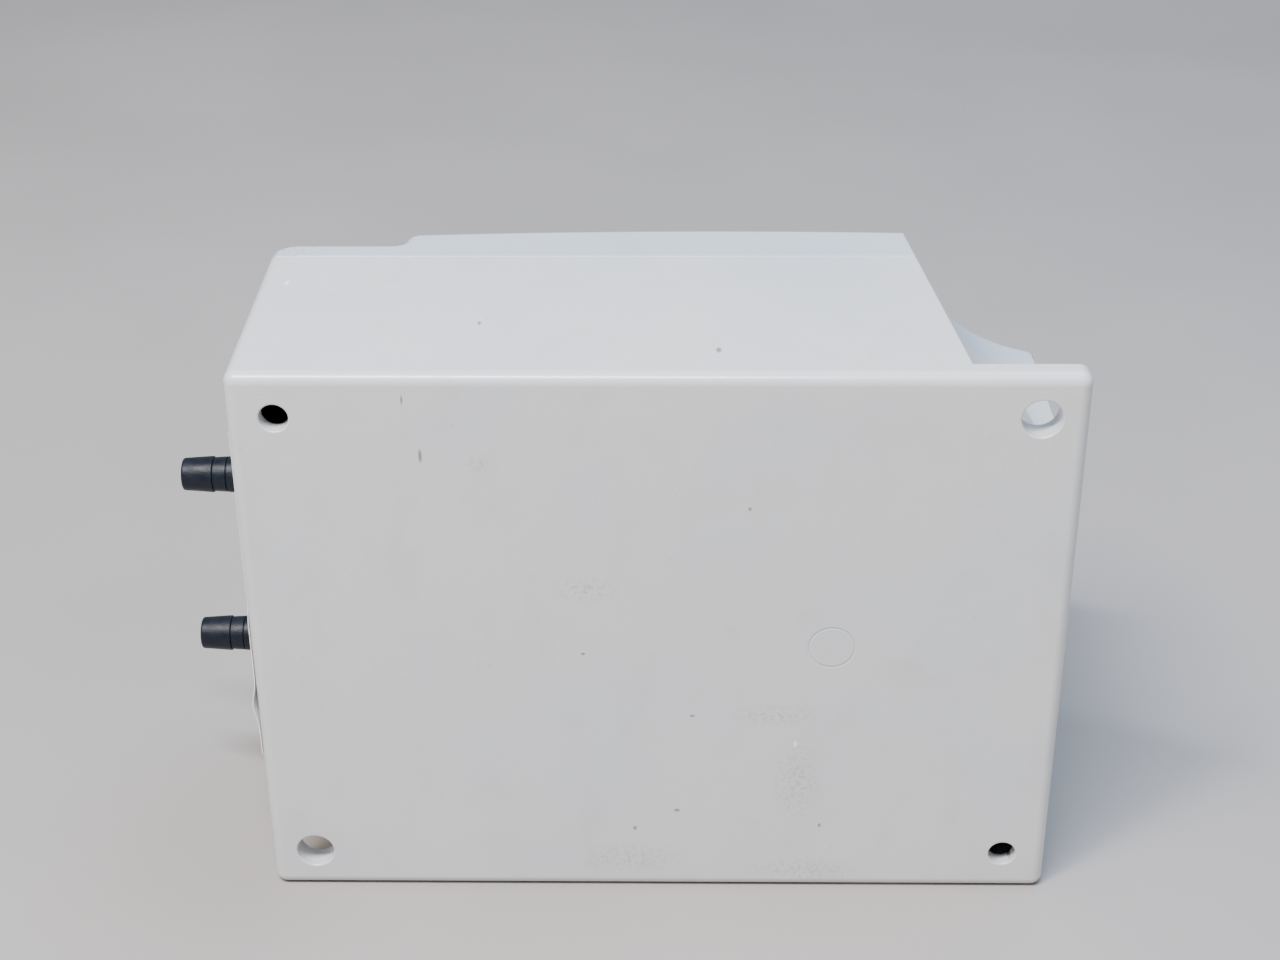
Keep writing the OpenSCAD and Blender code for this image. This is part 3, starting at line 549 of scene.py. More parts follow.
def side_label():
    """A blank film on the inlet side, cut out round both inlets, with a lifted rear edge."""
    low, high = corners_of("side_label")
    thick, cut_out = 0.16, 6.0
    columns, rows = 60, 110
    inlets = [middle("cable_grommet_upper").yz, middle("cable_grommet_lower").yz]
    shape = bmesh.new()
    grid, place = {}, {}
    for i in range(columns + 1):
        for j in range(rows + 1):
            here = Vector((low.y + (high.y - low.y) * i / columns, low.z + (high.z - low.z) * j / rows))
            for centre in inlets:
                away = here - centre
                if away.length < cut_out:
                    here = centre + (away.normalized() if away.length > 0 else Vector((1, 0))) * cut_out
            grid[i, j] = shape.verts.new((-cad_high.x - lift(*here) * MM, *(here * MM)))
            place[i, j] = here
    for i in range(columns):
        for j in range(rows):
            ring = [(i, j), (i + 1, j), (i + 1, j + 1), (i, j + 1)]
            if all(max((place[k] - centre).length for k in ring) > cut_out + 0.01 for centre in inlets):
                shape.faces.new([grid[k] for k in ring])
    bmesh.ops.delete(shape, geom=[v for v in shape.verts if not v.link_faces], context="VERTS")
    bmesh.ops.remove_doubles(shape, verts=shape.verts, dist=0.02 * MM)
    even_normals(shape)
    if sum(f.normal.x for f in shape.faces) > 0:
        bmesh.ops.reverse_faces(shape, faces=shape.faces)
    piece = made("side_label_piece", shape)
    film = piece.modifiers.new("film", "SOLIDIFY")
    film.thickness = thick * MM
    film.offset = 1
    return fit_piece(plain_mesh(piece), "side_label", 40)


cable_inlet("cable_grommet_upper")
cable_inlet("cable_grommet_lower")
side_label()


# ---- inside the box: tools ----
BOARD_BACK, BOARD_FRONT = (corner.y for corner in corners_of("circuit_board"))
PIN_TIP = corners_of("transformer_pins")[0].y


def islands(node):
    """Boxes, in mm, round the separate solids of a CAD node."""
    shape = cad_shape(node)
    left, boxes = set(shape.verts), []
    while left:
        todo, found = [left.pop()], []
        while todo:
            vert = todo.pop()
            found.append(vert.co / MM)
            for edge in vert.link_edges:
                other = edge.other_vert(vert)
                if other in left:
                    left.remove(other)
                    todo.append(other)
        boxes.append((Vector([min(c) for c in zip(*found)]), Vector([max(c) for c in zip(*found)])))
    shape.free()
    return sorted(boxes, key=lambda box: (round(box[0].z, 1), round(box[0].x, 1)))


def centres(node):
    """Places in x and z, in mm, of the separate solids of a CAD node."""
    return [((low.x + high.x) / 2, (low.z + high.z) / 2) for low, high in islands(node)]


def round_part(profile, segments=32, place=(0, 0)):
    """A closed profile of (depth, radius, corner radius) turned about the Y axis at x, z, in mm."""
    return solid_turned(profile, segments, lambda co: Vector((co.y + place[0] * MM, co.x, co.z + place[1] * MM)))


def add_block(shape, low, high, taper=0.0):
    """Adds a block between two corners in mm, drawn in by the taper at its far end in Y."""
    corners = []
    for y, inward in ((low[1], 0.0), (high[1], taper)):
        for x, z in ((low[0] + inward, low[2] + inward), (high[0] - inward, low[2] + inward),
                     (high[0] - inward, high[2] - inward), (low[0] + inward, high[2] - inward)):
            corners.append(shape.verts.new((x * MM, y * MM, z * MM)))
    for face in ((0, 1, 2, 3), (7, 6, 5, 4), (0, 4, 5, 1), (1, 5, 6, 2), (2, 6, 7, 3), (3, 7, 4, 0)):
        shape.faces.new([corners[i] for i in face])
    return even_normals(shape)


def block(low, high, taper=0.0):
    return add_block(bmesh.new(), low, high, taper)


def turned_about_y(shape, degrees, x=0.0, z=0.0):
    bmesh.ops.rotate(shape, verts=shape.verts, cent=(x * MM, 0, z * MM),
                     matrix=Matrix.Rotation(math.radians(degrees), 3, "Y"))
    return shape


def part_of(node, part, shape, ease_mm=0.0, cuts=(), crease=38, slot=None, finish=None):
    """A finished piece that stands for a CAD node, or for one finish of it."""
    piece = made(node + "_" + part, shape)
    if cuts:
        cut_away(piece, *cuts)
    if ease_mm:
        eased(piece, ease_mm)
    return fit_piece(piece, node, crease, slot, finish)


def new_tree(name, **sockets):
    """An empty Geometry Nodes tree with a geometry output and the given inputs."""
    tree = bpy.data.node_groups.new(name, "GeometryNodeTree")
    for socket, kind in sockets.items():
        tree.interface.new_socket(socket, in_out="INPUT", socket_type="NodeSocket" + kind)
    tree.interface.new_socket("Geometry", in_out="OUTPUT", socket_type="NodeSocketGeometry")
    return tree, add(tree, "NodeGroupInput").outputs


def end_tree(tree, geometry, material):
    solid = add(tree, "GeometryNodeRealizeInstances", {"Geometry": geometry})
    painted = add(tree, "GeometryNodeSetMaterial", {"Geometry": solid, "Material": material})
    add(tree, "NodeGroupOutput", {"Geometry": painted})
    return tree


def grown(name, tree, mesh, finish, **sizes):
    """Runs a tree on a mesh with the given sizes and freezes what it makes."""
    sizes["Material"] = MATERIALS[finish]
    piece = new_piece(name, mesh)
    grow = piece.modifiers.new("grow", "NODES")
    grow.node_group = tree
    for socket in tree.interface.items_tree:
        if socket.in_out == "INPUT" and socket.name in sizes:
            grow[socket.identifier] = sizes[socket.name]
    return made(name, even_normals(taken_back(plain_mesh(piece))))


def places_tree():
    """Sets a copy of a part on every point of a mesh, each turned about Y by chance up to a limit."""
    tree, given = new_tree("set_on_places", Places="Geometry", Part="Object", Turn="Float", Material="Material")
    part = add(tree, "GeometryNodeObjectInfo", {"Object": given["Part"]})
    points = add(tree, "GeometryNodeMeshToPoints", {"Mesh": given["Places"]})
    most = add(tree, "ShaderNodeCombineXYZ", {"Y": given["Turn"]})
    turn = add(tree, "FunctionNodeRandomValue", {"Max": most, "Seed": 7}, data_type="FLOAT_VECTOR")
    turn.inputs["Min"].default_value = (0, 0, 0)
    copies = add(tree, "GeometryNodeInstanceOnPoints", {"Points": points, "Rotation": turn,
                                                        "Instance": part.outputs["Geometry"]})
    return end_tree(tree, copies, given["Material"])


def coil_tree():
    """Round wire wound about the Y axis from a place."""
    tree, given = new_tree("wound_wire", Turns="Float", Radius="Float", Rise="Float", Wire="Float", Place="Vector",
                           Material="Material")
    path = add(tree, "GeometryNodeCurveSpiral", {"Resolution": 28, "Rotations": given["Turns"],
                                                 "Start Radius": given["Radius"], "End Radius": given["Radius"],
                                                 "Height": given["Rise"]})
    section = add(tree, "GeometryNodeCurvePrimitiveCircle", {"Resolution": 10, "Radius": given["Wire"]})
    wire = add(tree, "GeometryNodeCurveToMesh", {"Curve": path, "Profile Curve": section,
                                                 "Fill Caps": True})
    upright = add(tree, "GeometryNodeTransform", {"Geometry": wire, "Translation": given["Place"],
                                                  "Rotation": (-math.pi / 2, 0, 0)})
    return end_tree(tree, upright, given["Material"])


def layer_tree():
    """One layer of wire round a rectangular former: closed turns stacked along Z over the former's mesh."""
    tree, given = new_tree("wire_layer", Former="Geometry", Width="Float", Length="Float", Corner="Float",
                           Wire="Float", Count="Int", Pitch="Float", Place="Vector", Material="Material")
    frame_path = add(tree, "GeometryNodeCurvePrimitiveQuadrilateral", {"Width": given["Width"],
                                                                       "Height": given["Length"]})
    path = add(tree, "GeometryNodeFilletCurve", {"Curve": frame_path, "Radius": given["Corner"],
                                                 "Limit Radius": True, "Count": 4}, mode="POLY")
    section = add(tree, "GeometryNodeCurvePrimitiveCircle", {"Resolution": 6, "Radius": given["Wire"]})
    turn = add(tree, "GeometryNodeCurveToMesh", {"Curve": path, "Profile Curve": section})
    step = add(tree, "ShaderNodeCombineXYZ", {"Z": given["Pitch"]})
    line = add(tree, "GeometryNodeMeshLine", {"Count": given["Count"], "Start Location": given["Place"],
                                              "Offset": step})
    turns = add(tree, "GeometryNodeInstanceOnPoints", {"Points": line, "Instance": turn})
    both = add(tree, "GeometryNodeJoinGeometry", {"Geometry": turns})
    tree.links.new(given["Former"], both.inputs[0])
    return end_tree(tree, both, given["Material"])


SET_ON_PLACES = places_tree()
WOUND_WIRE = coil_tree()
WIRE_LAYER = layer_tree()


def set_on(name, shape, places, depth, finish="tin", turn=0.0):
    """Copies of one part at places in x, z and one depth, all in mm."""
    part = made(name + "_part", shape)
    mesh = bpy.data.meshes.new(name)
    mesh.from_pydata([(x * MM, depth * MM, z * MM) for x, z in places], [], [])
    piece = grown(name, SET_ON_PLACES, mesh, finish, Part=part, Turn=turn)
    bpy.data.objects.remove(part)
    return piece


# ---- inside the box: screws, springs and windings ----
def pan_head_screw(shank, head, height, length):
    """A cross-recessed pan-head screw that points to -Y, with its seat at depth 0."""
    bends = [math.radians(a) for a in range(0, 91, 15)]
    dome = [(height * (0.4 + 0.6 * math.cos(a)), head / 2 * math.sin(a), 0) for a in bends]
    pitch = 0.8
    crest, root = shank / 2, shank / 2 - 0.32
    thread = [(-0.4, crest, 0), (-0.8, root, 0)]
    depth = 0.8 + pitch / 2
    while depth < length - shank / 2 - pitch / 2:
        thread += [(-depth, crest, 0), (-depth - pitch / 2, root, 0)]
        depth += pitch
    profile = dome + [(0, head / 2, 0.12), (0, crest, 0)] + thread + [(-length + 0.3, 0.3, 0.1), (-length, 0, 0)]
    arm, half = head * 0.3, head * 0.065
    arms = [turned_about_y(block((-arm, height * 0.42, -half), (arm, height * 1.3, half)), turn)
            for turn in (45, -45)]
    return taken_back(cut_away(made("screw", round_part(profile, 28)), *arms))


LID_SCREW = 15.0        # length of a lid screw's shank, in mm
lid_seat = min(low.y for low, high in islands("lid_screws")) + LID_SCREW
for node, height, length, seat in (("lid_screws", 2.2, LID_SCREW, lid_seat),
                                   ("board_screws", 2.0, 7.5, BOARD_FRONT)):
    screw = pan_head_screw(3.0, 5.6, height, length)
    fit_piece(set_on(node + "_piece", screw, centres(node), seat, "zinc_steel", turn=3.1), node, 34)

spring_low, spring_high = corners_of("button_spring")
spring_x, spring_z = centres("button_spring")[0]
SPRING_WIRE = 0.5
spring = grown("button_spring_piece", WOUND_WIRE, bpy.data.meshes.new("button_spring_piece"), "spring_steel",
               Turns=5.5, Radius=((spring_high.x - spring_low.x) / 2 - SPRING_WIRE) * MM, Wire=SPRING_WIRE * MM,
               Rise=(spring_high.y - spring_low.y - 2 * SPRING_WIRE) * MM,
               Place=(spring_x * MM, (spring_low.y + SPRING_WIRE) * MM, spring_z * MM))
fit_piece(spring, "button_spring", 60)
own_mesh(spring)

antenna_high = corners_of("antenna_coil")[1]
antenna_x, antenna_z = middle("antenna_coil").xz
antenna_foot = BOARD_FRONT + 3
ANTENNA_RADIUS = 2.3
tail_x = antenna_x + ANTENNA_RADIUS
antenna = grown("antenna_wire", WOUND_WIRE, bpy.data.meshes.new("antenna_wire"), "copper_wire", Turns=15.0,
                Radius=ANTENNA_RADIUS * MM, Wire=0.48 * MM, Rise=(antenna_high.y - antenna_foot - 1) * MM,
                Place=(antenna_x * MM, (antenna_foot + 0.5) * MM, antenna_z * MM))
tail = made("tail", round_part([(PIN_TIP, 0, 0), (PIN_TIP, 0.45, 0.15), (antenna_foot + 0.6, 0.45, 0.2),
                                (antenna_foot + 0.6, 0, 0)], 12, (tail_x, antenna_z)))
fit_piece(made("antenna_coil_piece", taken_back(antenna, tail)), "antenna_coil", 60)


def winding(node, wire_mm):
    """Bright enamelled wire in close turns round the former, seen as its top layer."""
    low, high = corners_of(node)
    centre, size = (low + high) / 2, high - low
    shape = cad_shape(node)
    for vert in shape.verts:
        x, y = vert.co.x / MM - centre.x, vert.co.y / MM - centre.y
        if abs(x) > size.x / 2 - 1:
            vert.co.x -= math.copysign(wire_mm * MM, x)
        if abs(y) > size.y / 2 - 1:
            vert.co.y -= math.copysign(wire_mm * MM, y)
    count = int(size.z / (2 * wire_mm) + 0.01)      # whole turns that fit
    mesh = bpy.data.meshes.new(node + "_piece")
    shape.to_mesh(mesh)
    shape.free()
    piece = grown(node + "_piece", WIRE_LAYER, mesh, SLOT_OF[node], Width=(size.x - 2 * wire_mm) * MM,
                  Corner=1.6 * MM, Length=(size.y - 2 * wire_mm) * MM, Wire=wire_mm * MM, Count=count,
                  Pitch=(size.z - 2 * wire_mm) / (count - 1) * MM,
                  Place=(centre.x * MM, centre.y * MM, (low.z + wire_mm) * MM))
    return fit_piece(piece, node, 65)


winding("primary_winding", 0.2)
winding("secondary_winding", 0.45)


# ---- inside the box: parts on the board ----
# where the leads of the rectifier and the regulator go through the board
rectifier, regulator_x = middle("bridge_rectifier"), middle("voltage_regulator").x
BRIDGE_PINS = [(rectifier.x + a, rectifier.z + b) for a in (-5, 5) for b in (-5, 5)]
REGULATOR_PINS = [(regulator_x + i * 2.54, corners_of("voltage_regulator")[1].z - 1.8) for i in (-1, 0, 1)]


def leads(node, places, top, radius=0.45):
    """Tinned leads through the board, up to a depth."""
    foot, head = PIN_TIP - BOARD_FRONT, top - BOARD_FRONT
    shape = round_part([(foot, 0, 0), (foot, radius, 0.15), (head, radius, 0), (head, 0, 0)], 14)
    return fit_piece(set_on(node + "_leads", shape, places, BOARD_FRONT), node, 50, "tin")


def capacitors():
    """Radial capacitors: a crimped can in a shrunk sleeve, whose bare top is scored to vent."""
    node = "smoothing_capacitors"
    low, high = corners_of(node)
    tall = high.y - low.y
    can = [(0, 0, 0), (0, 7, 0.3), (1.0, 7, 0), (1.0, 8, 0.5), (3.0, 8, 0.4), (3.5, 7.35, 0.4), (4.0, 8, 0.4),
           (tall, 8, 0.7), (tall, 6.5, 0.12), (tall - 0.35, 6.5, 0), (tall - 0.35, 0, 0)]
    fit_piece(set_on(node + "_piece", round_part(can, 56), centres(node), low.y, "capacitor_sleeve"), node, 50)
    plate = [(tall - 0.4, 0, 0), (tall - 0.4, 6.48, 0), (tall - 0.12, 6.48, 0.1), (tall - 0.12, 0, 0)]
    scores = [turned_about_y(block((-5, tall - 0.3, -0.2), (5, tall + 1, 0.2)), turn) for turn in (0, 90)]
    top = taken_back(cut_away(made("plate", round_part(plate, 56)), *scores))
    fit_piece(set_on(node + "_tops", top, centres(node), low.y, "can_steel"), node, 30, "can_steel")


def dipped_disc():
    """Varistor: a disc dipped in epoxy, which runs down its two leads a little."""
    x, _, z = middle("varistor")
    place = Vector((x, BOARD_FRONT + 8, z)) * MM
    disc = solid_turned([(-2, 0, 0), (-2, 6, 1.7), (2, 6, 1.7), (2, 0, 0)], 48, lambda co: co + place)
    places = [(x + s * 1.2, z + s * 3.75) for s in (-1, 1)]
    skirt = round_part([(1.4, 0, 0), (1.4, 0.5, 0.1), (3.0, 0.85, 0.3), (5.2, 1.1, 0), (5.2, 0, 0)], 16)
    skirts = set_on("skirts", skirt, places, BOARD_FRONT, "varistor_epoxy")
    fit_piece(made("varistor_piece", taken_back(made("disc", disc), skirts)), "varistor", 50)
    leads("varistor", places, BOARD_FRONT + 2)


def bridge():
    """Bridge rectifier: a moulded block with one corner cut to mark its plus lead."""
    x, _, z = middle("bridge_rectifier")
    low, high = BOARD_FRONT + 3, BOARD_FRONT + 9
    half, cut = 7.5, 1.6
    corner_x, corner_z = x + half, z + half
    corner = block((corner_x - cut, low - 1, corner_z - cut), (corner_x + cut, high + 1, corner_z + cut))
    body = block((x - half, low, z - half), (x + half, high, z + half), 0.2)
    part_of("bridge_rectifier", "piece", body, 0.3,
            cuts=(turned_about_y(corner, 45, corner_x, corner_z),))
    leads("bridge_rectifier", BRIDGE_PINS, low + 0.2)


def regulator():
    """Voltage regulator: an epoxy body on a plated tab that is held flat against the heat sink."""
    x, back = middle("voltage_regulator").x, corners_of("voltage_regulator")[1].z
    z = back - 2.2
    base = BOARD_FRONT
    part_of("voltage_regulator", "piece",
            block((x - 5, base + 4, z - 2.2), (x + 5, base + 13, back - 1.2)), 0.25)
    hole = solid_turned([(-8, 0, 0), (-8, 1.8, 0), (8, 1.8, 0), (8, 0, 0)], 32,
                        lambda co: Vector((x * MM + co.y, (base + 16.5) * MM + co.z, z * MM + co.x)))
    tab = block((x - 5, base + 4.1, back - 1.25), (x + 5, base + 19.5, back))
    part_of("voltage_regulator", "tab", tab, 0.12, cuts=(hole,), slot="tin")
    leads("voltage_regulator", REGULATOR_PINS, base + 4.2)


def chip():
    """Controller: a drafted epoxy body with a notch and a dimple at its first pin, on two rows of bent legs."""
    x, _, z = middle("control_chip")
    base = BOARD_FRONT
    waist = base + 2.3
    shape = block((x - 3.6, waist, z - 15), (x + 3.6, base + 4.2, z + 15), 0.22)
    under = block((x - 3.6, base + 0.6, z - 15), (x + 3.6, waist, z + 15))
    for vert in under.verts:
        if vert.co.y < (base + 1) * MM:
            vert.co.x += math.copysign(0.2, x * MM - vert.co.x) * MM
            vert.co.z += math.copysign(0.2, z * MM - vert.co.z) * MM
    shape = taken_back(made("body", shape), made("under", under))
    notch = round_part([(base + 3.7, 0, 0), (base + 3.7, 1.3, 0), (base + 5, 1.3, 0), (base + 5, 0, 0)], 32,
                       (x, z + 15))
    dimple = round_part([(base + 4.05, 0, 0), (base + 4.05, 0.55, 0.1), (base + 5, 0.55, 0), (base + 5, 0, 0)], 24,
                        (x - 2.3, z + 12.6))
    bmesh.ops.remove_doubles(shape, verts=shape.verts, dist=1e-6)
    inner = [f for f in shape.faces if abs(f.normal.y) > 0.9 and abs(f.calc_center_median().y / MM - waist) < 0.01]
    bmesh.ops.delete(shape, geom=inner, context="FACES_ONLY")
    part_of("control_chip", "piece", even_normals(shape), 0.1, cuts=(notch, dimple))
    rows = []
    for side in (-1, 1):
        leg = bmesh.new()
        for inner_x, low, high, half in ((3.55, 2.1, 2.4, 0.6), (3.95, 0.9, 2.1, 0.6), (3.95, -2.4, 0.9, 0.25)):
            a, b = sorted((side * inner_x, side * 4.25))
            add_block(leg, (a, low, -half), (b, high, half))
        rows.append(set_on("legs", leg, [(x, z + (i - 5.5) * 2.4) for i in range(12)], base))
    fit_piece(made("control_chip_legs", taken_back(*rows)), "control_chip", 30, "tin")


def fuse_ends():
    """Nickel-plated end caps with the fuse wire stretched between them."""
    low, high = corners_of("fuse_caps")
    centre = (low + high) / 2 * MM
    half = (high.x - low.x) / 2
    cap = [(half, 0, 0), (half, 2.6, 0.3), (half - 5.4, 2.6, 0.08), (half - 5.4, 2.5, 0), (half - 0.8, 2.5, 0),
           (half - 0.8, 0, 0)]
    wire = [(-half + 0.8, 0, 0), (-half + 0.8, 0.09, 0), (half - 0.8, 0.09, 0), (half - 0.8, 0, 0)]
    shapes = [solid_turned(cap, 40, lambda co: Vector((-co.x, co.y, co.z)) + centre),
              solid_turned(cap, 40, lambda co: co + centre), solid_turned(wire, 8, lambda co: co + centre)]
    part_of("fuse_caps", "piece", taken_back(*[made("end", shape) for shape in shapes]))


def push_button():
    """Operate button: a dished cap with a soft edge, hollow under its top, on a stem with a groove for its clip."""
    x, _, z = middle("operate_button")
    foot, face = (corner.y for corner in corners_of("operate_button"))
    clip = corners_of("button_retainer")[1].y + 0.02
    dish = [(face - 0.45 * (1 - (r / 9.6) ** 2), r, 0) for r in (0, 1.6, 3.2, 4.8, 6.4, 8.0, 9.2)]
    profile = [(foot, 0, 0), (foot, 3, 0.4), (clip - 1, 3, 0), (clip - 1, 2.2, 0), (clip, 2.2, 0), (clip, 3, 0),
               (face - 2.4, 3, 0.3), (face - 2.4, 10.4, 0.4), (face - 7, 10.4, 0.2), (face - 7, 12, 0.3),
               (face - 1.3, 12, 0.6), (face - 0.9, 11.3, 0.4), (face, 10.9, 0.8)] + dish[::-1]
    part_of("operate_button", "piece", round_part(profile, 96, (x, z)))


capacitors()
dipped_disc()
bridge()
regulator()
chip()
fuse_ends()
push_button()


# ---- inside the box: tracks, pads and printed outlines ----
COPPER = 0.05       # height of a track over the board, in mm
INK = 0.03          # height of the printed lines over that


def arc(x, y, radius, start, end, count):
    """Points on an arc, from one angle in degrees to another."""
    turns = [math.radians(start + (end - start) * i / count) for i in range(count + 1)]
    return [(x + radius * math.cos(t), y + radius * math.sin(t)) for t in turns]


def strip(shape, path, width, y0, y1):
    """Adds a flat strip along a path in x, z, mitred at its bends, all in mm."""
    points = [Vector(p) for p in path]
    runs = [(after - before).normalized() for before, after in zip(points, points[1:])]
    ring = []
    for here, behind, ahead in zip(points, runs[:1] + runs, runs + runs[-1:]):
        along = (ahead + behind).normalized()
        across = Vector((-along.y, along.x))
        reach = width / 2 / max(along.dot(ahead), 0.3)
        sides = [here - across * reach, here + across * reach]
        ring.append([shape.verts.new((sides[i].x * MM, y * MM, sides[i].y * MM))
                     for i, y in ((0, y0), (1, y0), (1, y1), (0, y1))])
    for one, two in zip(ring, ring[1:]):
        for i in range(4):
            shape.faces.new((one[i], one[(i + 1) % 4], two[(i + 1) % 4], two[i]))
    shape.faces.new(ring[0])
    shape.faces.new(ring[-1])


def tracks():
    """Copper tracks under the mask: two buses of thin lines from the controller and wide ones for power."""
    thin = []
    for i in range(5):
        spine, low, rise = -59.9 + 1.2 * i, -37.4 + 1.2 * i, -34.1 - 1.2 * i
        way, leg = -24 + 5 * i, -27.2 + 2.4 * i
        thin.append([(-61.6, way), (spine - 0.8, way), (spine, way - 0.8), (spine, low + 1.5), (spine + 1.5, low),
                     (rise - 1.5, low), (rise, low + 1.5), (rise, leg - 0.8), (rise + 0.8, leg), (-32.9, leg)])
    for k, pin in ((0, 15.27), (1, 12.73), (2, 5.11), (3, 7.65), (4, 10.19)):
        spine, low, leg = -22.2 + 1.2 * k, -42.6 + 1.2 * k, -27.2 + 2.4 * k
        path = [(-25.1, leg), (spine - 0.8, leg), (spine, leg - 0.8), (spine, low + 1.5), (spine + 1.5, low)]
        bend = [(pin - 0.8, low), (pin, low + math.copysign(0.8, -40 - low)), (pin, -40)]
        thin.append(path + ([(pin, -40.2)] if k == 2 else bend))
    for i in range(4):
        thin.append([(-25.1, -13 + 2.4 * i), (-22.4 + 1.1 * i, -13 + 2.4 * i), (-21.4 + 1.1 * i, -12 + 2.4 * i),
                     (-21.4 + 1.1 * i, 8 - 1.1 * i), (-20.4 + 1.1 * i, 9 - 1.1 * i), (-14, 9 - 1.1 * i)])
        thin.append([(-32.9, -5.6 + 1.6 * i), (-34.4 - 0.9 * i, -5.6 + 1.6 * i), (-35.2 - 0.9 * i, -4.8 + 1.6 * i),
                     (-35.2 - 0.9 * i, 10.4 + 2.54 * i), (-34.4 - 0.9 * i, 11.2 + 2.54 * i),
                     (-31.9, 11.2 + 2.54 * i)])
    wide = [[(-61.6, 29), (-59.5, 29), (-58.5, 30), (-48.3, 30)],
            [(-33.7, 30), (-29, 30), (-26.75, 32.25), (-23.2, 32.25)],
            [(-61.6, 36.5), (-57, 36.5), (-53.75, 39.75), (-20.8, 39.75)], [(-61.6, 12.25), (-52, 12.25)],
            [(-61.6, 4.75), (-58.5, 4.75), (-57, 3.25), (-57, -4), (-55, -6), (-52, -6)],
            [(28, 1.5), (28, 15)], [(48, 1.5), (44, 5.5), (44, 9), (38, 15)],
            [(38, 25), (38, 30), (34, 34), (25, 34), (19, 34)], [(28, 25), (24, 29), (20, 29)],
            [(56.5, 13.8), (64, 21), (64, 36), (58, 41), (30, 41), (26, 38), (20, 38)], [(-2, 40), (14, 40)],
            [(66, 14), (66, -36), (60, -41), (36, -41), (33, -40)]]
    shape = bmesh.new()
    for paths, width in ((thin, 0.55), (wide, 2.2)):
        for path in paths:
            strip(shape, path, width, BOARD_FRONT, BOARD_FRONT + COPPER)
    for x, z in PIN_PLACES:
        strip(shape, [(x, z), (x * 0.8 + 4, z)], 1.2, BOARD_BACK - COPPER, BOARD_BACK)
    part_of("circuit_board", "tracks", even_normals(shape), crease=20, finish="mask_over_copper")


def outlines():
    """White printed frames round the parts, with no lettering."""
    shape = bmesh.new()
    y0, y1 = BOARD_FRONT + COPPER, BOARD_FRONT + COPPER + INK
    gap, line = 0.7, 0.25
    for node in ("relay_open", "relay_close", "control_chip", "dip_switch_body", "bridge_rectifier",
                 "open_force_trimmer_body", "close_force_trimmer_body", "learn_switch_body",
                 "operate_switch_body", "crystal", "heat_sink", "receiver_board", "varistor"):
        low, high = corners_of(node)
        left, right, bottom, top = low.x - gap, high.x + gap, low.z - gap, high.z + gap
        corners = [(left, bottom), (right, bottom), (right, top), (left, top)]
        for a, b in zip(corners, corners[1:] + corners[:1]):
            strip(shape, [a, b], line, y0, y1)
    for low, high in islands("smoothing_capacitors"):
        x, z, radius = (low.x + high.x) / 2, (low.z + high.z) / 2, (high.x - low.x) / 2 + 0.6
        strip(shape, arc(x, z, radius, 0, 360, 36), line, y0, y1)
    part_of("circuit_board", "outlines", even_normals(shape), crease=20, finish="legend_ink")


PIN_PLACES = (centres("transformer_pins") + centres("receiver_pins") + BRIDGE_PINS + REGULATOR_PINS
              + centres("fuse_clips") + [(-23.2, 32.25), (-20.8, 39.75), (tail_x, antenna_z)])
PIN_PLACES = sorted({(round(x, 2), round(z, 2)) for x, z in PIN_PLACES})
tracks()
outlines()
pad = round_part([(0, 0.66, 0), (0, 1.15, 0), (0.06, 1.15, 0.02), (0.06, 0.66, 0)], 20)
joint = round_part([(0, 0.62, 0), (0, 1.2, 0), (-0.25, 1.0, 0), (-0.7, 0.66, 0), (-1.15, 0.5, 0), (-1.2, 0.4, 0)], 16)
pads = [set_on("pads", pad, PIN_PLACES, BOARD_FRONT), set_on("joints", joint, PIN_PLACES, BOARD_BACK)]
fit_piece(made("circuit_board_pads", taken_back(*pads)), "circuit_board", 50, "tin")


# ---- lid ----
LID_ROUND = 2.0      # rounding along the lid's long edges, in mm
LEFT_ROUND = 5.5     # upright edge at the inlet side
RIGHT_ROUND = 2.5    # upright edge at the far side
STEP_X = -55.5       # foot of the step
STEP_FOOT = 2.6      # radius at the foot of the step
STEP_HEAD = 3.4      # radius at the head of the step
CROWN_X = 12.0       # middle of the crown
CROWN_RADIUS = 900.0
LOW_DEPTH = 61.5     # depth of the box where the lid is low


def crown(x):
    """Depth of the gently crowned part of the lid."""
    return cad_high.y / MM - (x - CROWN_X) ** 2 / (2 * CROWN_RADIUS)


def lid_outline(slack):
    """The lid's outline in x and y, from the inlet side over the step and the crown to the far side."""
    side = cad_high.x / MM
    head_x, right_x = STEP_X + STEP_FOOT + STEP_HEAD, side - RIGHT_ROUND
    points = [(-side, 45)]
    points += arc(-side + LEFT_ROUND, LOW_DEPTH - LEFT_ROUND, LEFT_ROUND, 180, 90, 14)
    points += arc(STEP_X, LOW_DEPTH + STEP_FOOT, STEP_FOOT, -90, 0, 12)
    points += arc(head_x, crown(head_x) - STEP_HEAD, STEP_HEAD, 180, 90, 12)
    points += [(x, crown(x)) for x in [head_x + (right_x - head_x) * i / 60 for i in range(1, 60)]]
    points += arc(right_x, crown(right_x) - RIGHT_ROUND, RIGHT_ROUND, 90, 0, 10)
    points += [(side, 45)]
    return inset(points, -slack)


def inset(points, distance):
    """Moves an open outline sideways, to its right as it runs."""
    moved = []
    for i, (x, y) in enumerate(points):
        before, after = points[max(i - 1, 0)], points[min(i + 1, len(points) - 1)]
        along = Vector((after[0] - before[0], after[1] - before[1])).normalized()
        moved.append((x + along.y * distance, y - along.x * distance))
    return moved


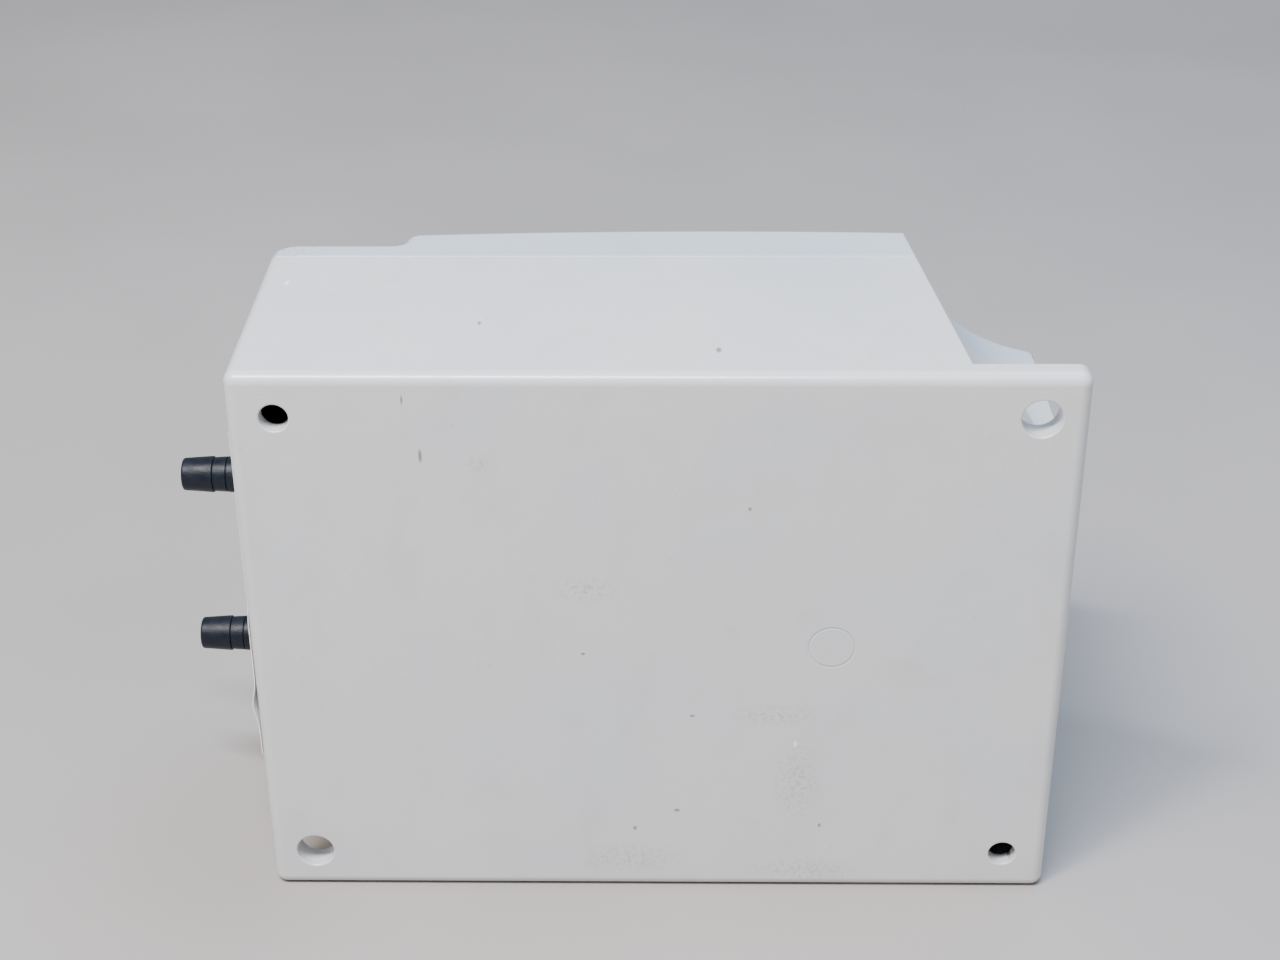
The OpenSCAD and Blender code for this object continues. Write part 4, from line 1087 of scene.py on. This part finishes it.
def rounded_envelope():
    """A solid round the lid, a hair proud of it, whose long edges are rounded."""
    slack, steps = 0.02, 8
    half = cad_high.z / MM + slack
    outline = lid_outline(slack)
    shape = bmesh.new()
    loops = []
    for side, turns in ((-1, range(steps + 1)), (1, range(steps, -1, -1))):
        for i in turns:
            t = math.radians(90 * i / steps)
            z = side * (half - LID_ROUND * (1 - math.cos(t)))
            loops.append([shape.verts.new((x * MM, y * MM, z * MM))
                          for x, y in inset(outline, LID_ROUND * (1 - math.sin(t)))])
    for one, two in zip(loops, loops[1:]):
        for i in range(len(one)):
            j = (i + 1) % len(one)
            shape.faces.new((one[i], one[j], two[j], two[i]))
    shape.faces.new(loops[0])
    shape.faces.new(loops[-1])
    return even_normals(shape)


def trimmed_anyway(edge):
    """Edges of the lid that the rounded envelope cuts away, and those of its inside, which stay crisp."""
    outer = all(abs(v.co.z) > cad_high.z - 2.6 * MM and v.co.y > 57 * MM for v in edge.verts)
    inner = all(abs(v.co.x) < cad_high.x - 1.8 * MM and abs(v.co.z) < cad_high.z - 1.6 * MM
                and v.co.y < (57.5 if v.co.x < -52 * MM else 65.5) * MM for v in edge.verts)
    return outer or inner


eased_piece("front_lid", 0.3, left_sharp=trimmed_anyway, envelope=rounded_envelope())


# ---- stage ----
def floor():
    """A plain pale floor, wide enough that no edge of it shows."""
    mesh = bpy.data.meshes.new("floor")
    half = 3.0
    corners = [(x, y, cad_low.z) for x, y in ((-half, -half), (half, -half), (half, half), (-half, half))]
    mesh.from_pydata(corners, [], [(0, 1, 2, 3)])
    material, tree, shader, position = new_material("matt_pale_board")
    cloud = patches(tree, position, 180, detail=3)
    tree.links.new(tint(tree, cloud, colour("#a8a19c"), colour("#a09a95")), shader.inputs["Base Color"])
    shader.inputs["Roughness"].default_value = 0.75
    mesh.materials.append(material)
    return new_piece("floor", mesh)


def soft_light(name, place, aim, size, power, tone, depth=None):
    """A rectangular lamp at a place in metres, turned to a point."""
    lamp = bpy.data.lights.new(name, "AREA")
    lamp.shape = "RECTANGLE"
    lamp.size = size
    lamp.size_y = depth or size
    lamp.energy = power
    lamp.color = colour(tone)[:3]
    holder = new_piece(name, lamp)
    holder.location = place
    holder.rotation_euler = (Vector(aim) - Vector(place)).to_track_quat("-Z", "Y").to_euler()


def camera(place_mm, down_degrees, left_degrees, roll_degrees, lens_mm):
    """A camera at a place, looking along +Y and turned down, to the left, and rolled."""
    down, left, roll = (math.radians(a) for a in (down_degrees, left_degrees, roll_degrees))
    ahead = Vector((-math.sin(left) * math.cos(down), math.cos(left) * math.cos(down), -math.sin(down)))
    right = Vector((math.cos(left), math.sin(left), 0))
    below = ahead.cross(right)
    across = math.cos(roll) * right + math.sin(roll) * below
    upward = math.sin(roll) * right - math.cos(roll) * below
    data = bpy.data.cameras.new("camera")
    data.lens = lens_mm
    data.sensor_width = 36
    data.clip_start = 0.01
    holder = new_piece("camera", data)
    turn = Matrix((across, upward, -ahead)).transposed().to_4x4()
    holder.matrix_world = Matrix.Translation(Vector(place_mm) * MM) @ turn
    bpy.context.scene.camera = holder


floor()
world = bpy.data.worlds.new("studio")
world.use_nodes = True
sky = world.node_tree.nodes["Background"].inputs
sky["Color"].default_value = colour("#dde2e8")
sky["Strength"].default_value = 0.6
bpy.context.scene.world = world
soft_light("key", (-0.5, -0.42, 0.95), (0, 0.03, 0), 0.26, 10.5, "#fff4e6")
soft_light("strip", (-0.16, -0.42, 1.0), (0, 0, 0.059), 0.5, 21.0, "#eef4ff", depth=0.06)
soft_light("top", (0.3, 0.25, 1.0), (0, 0.03, 0), 0.5, 7.0, "#8fc0f5")
camera((2.879, -355.624, 235.547), 29.09, 0.979, 0.377, 61.12)
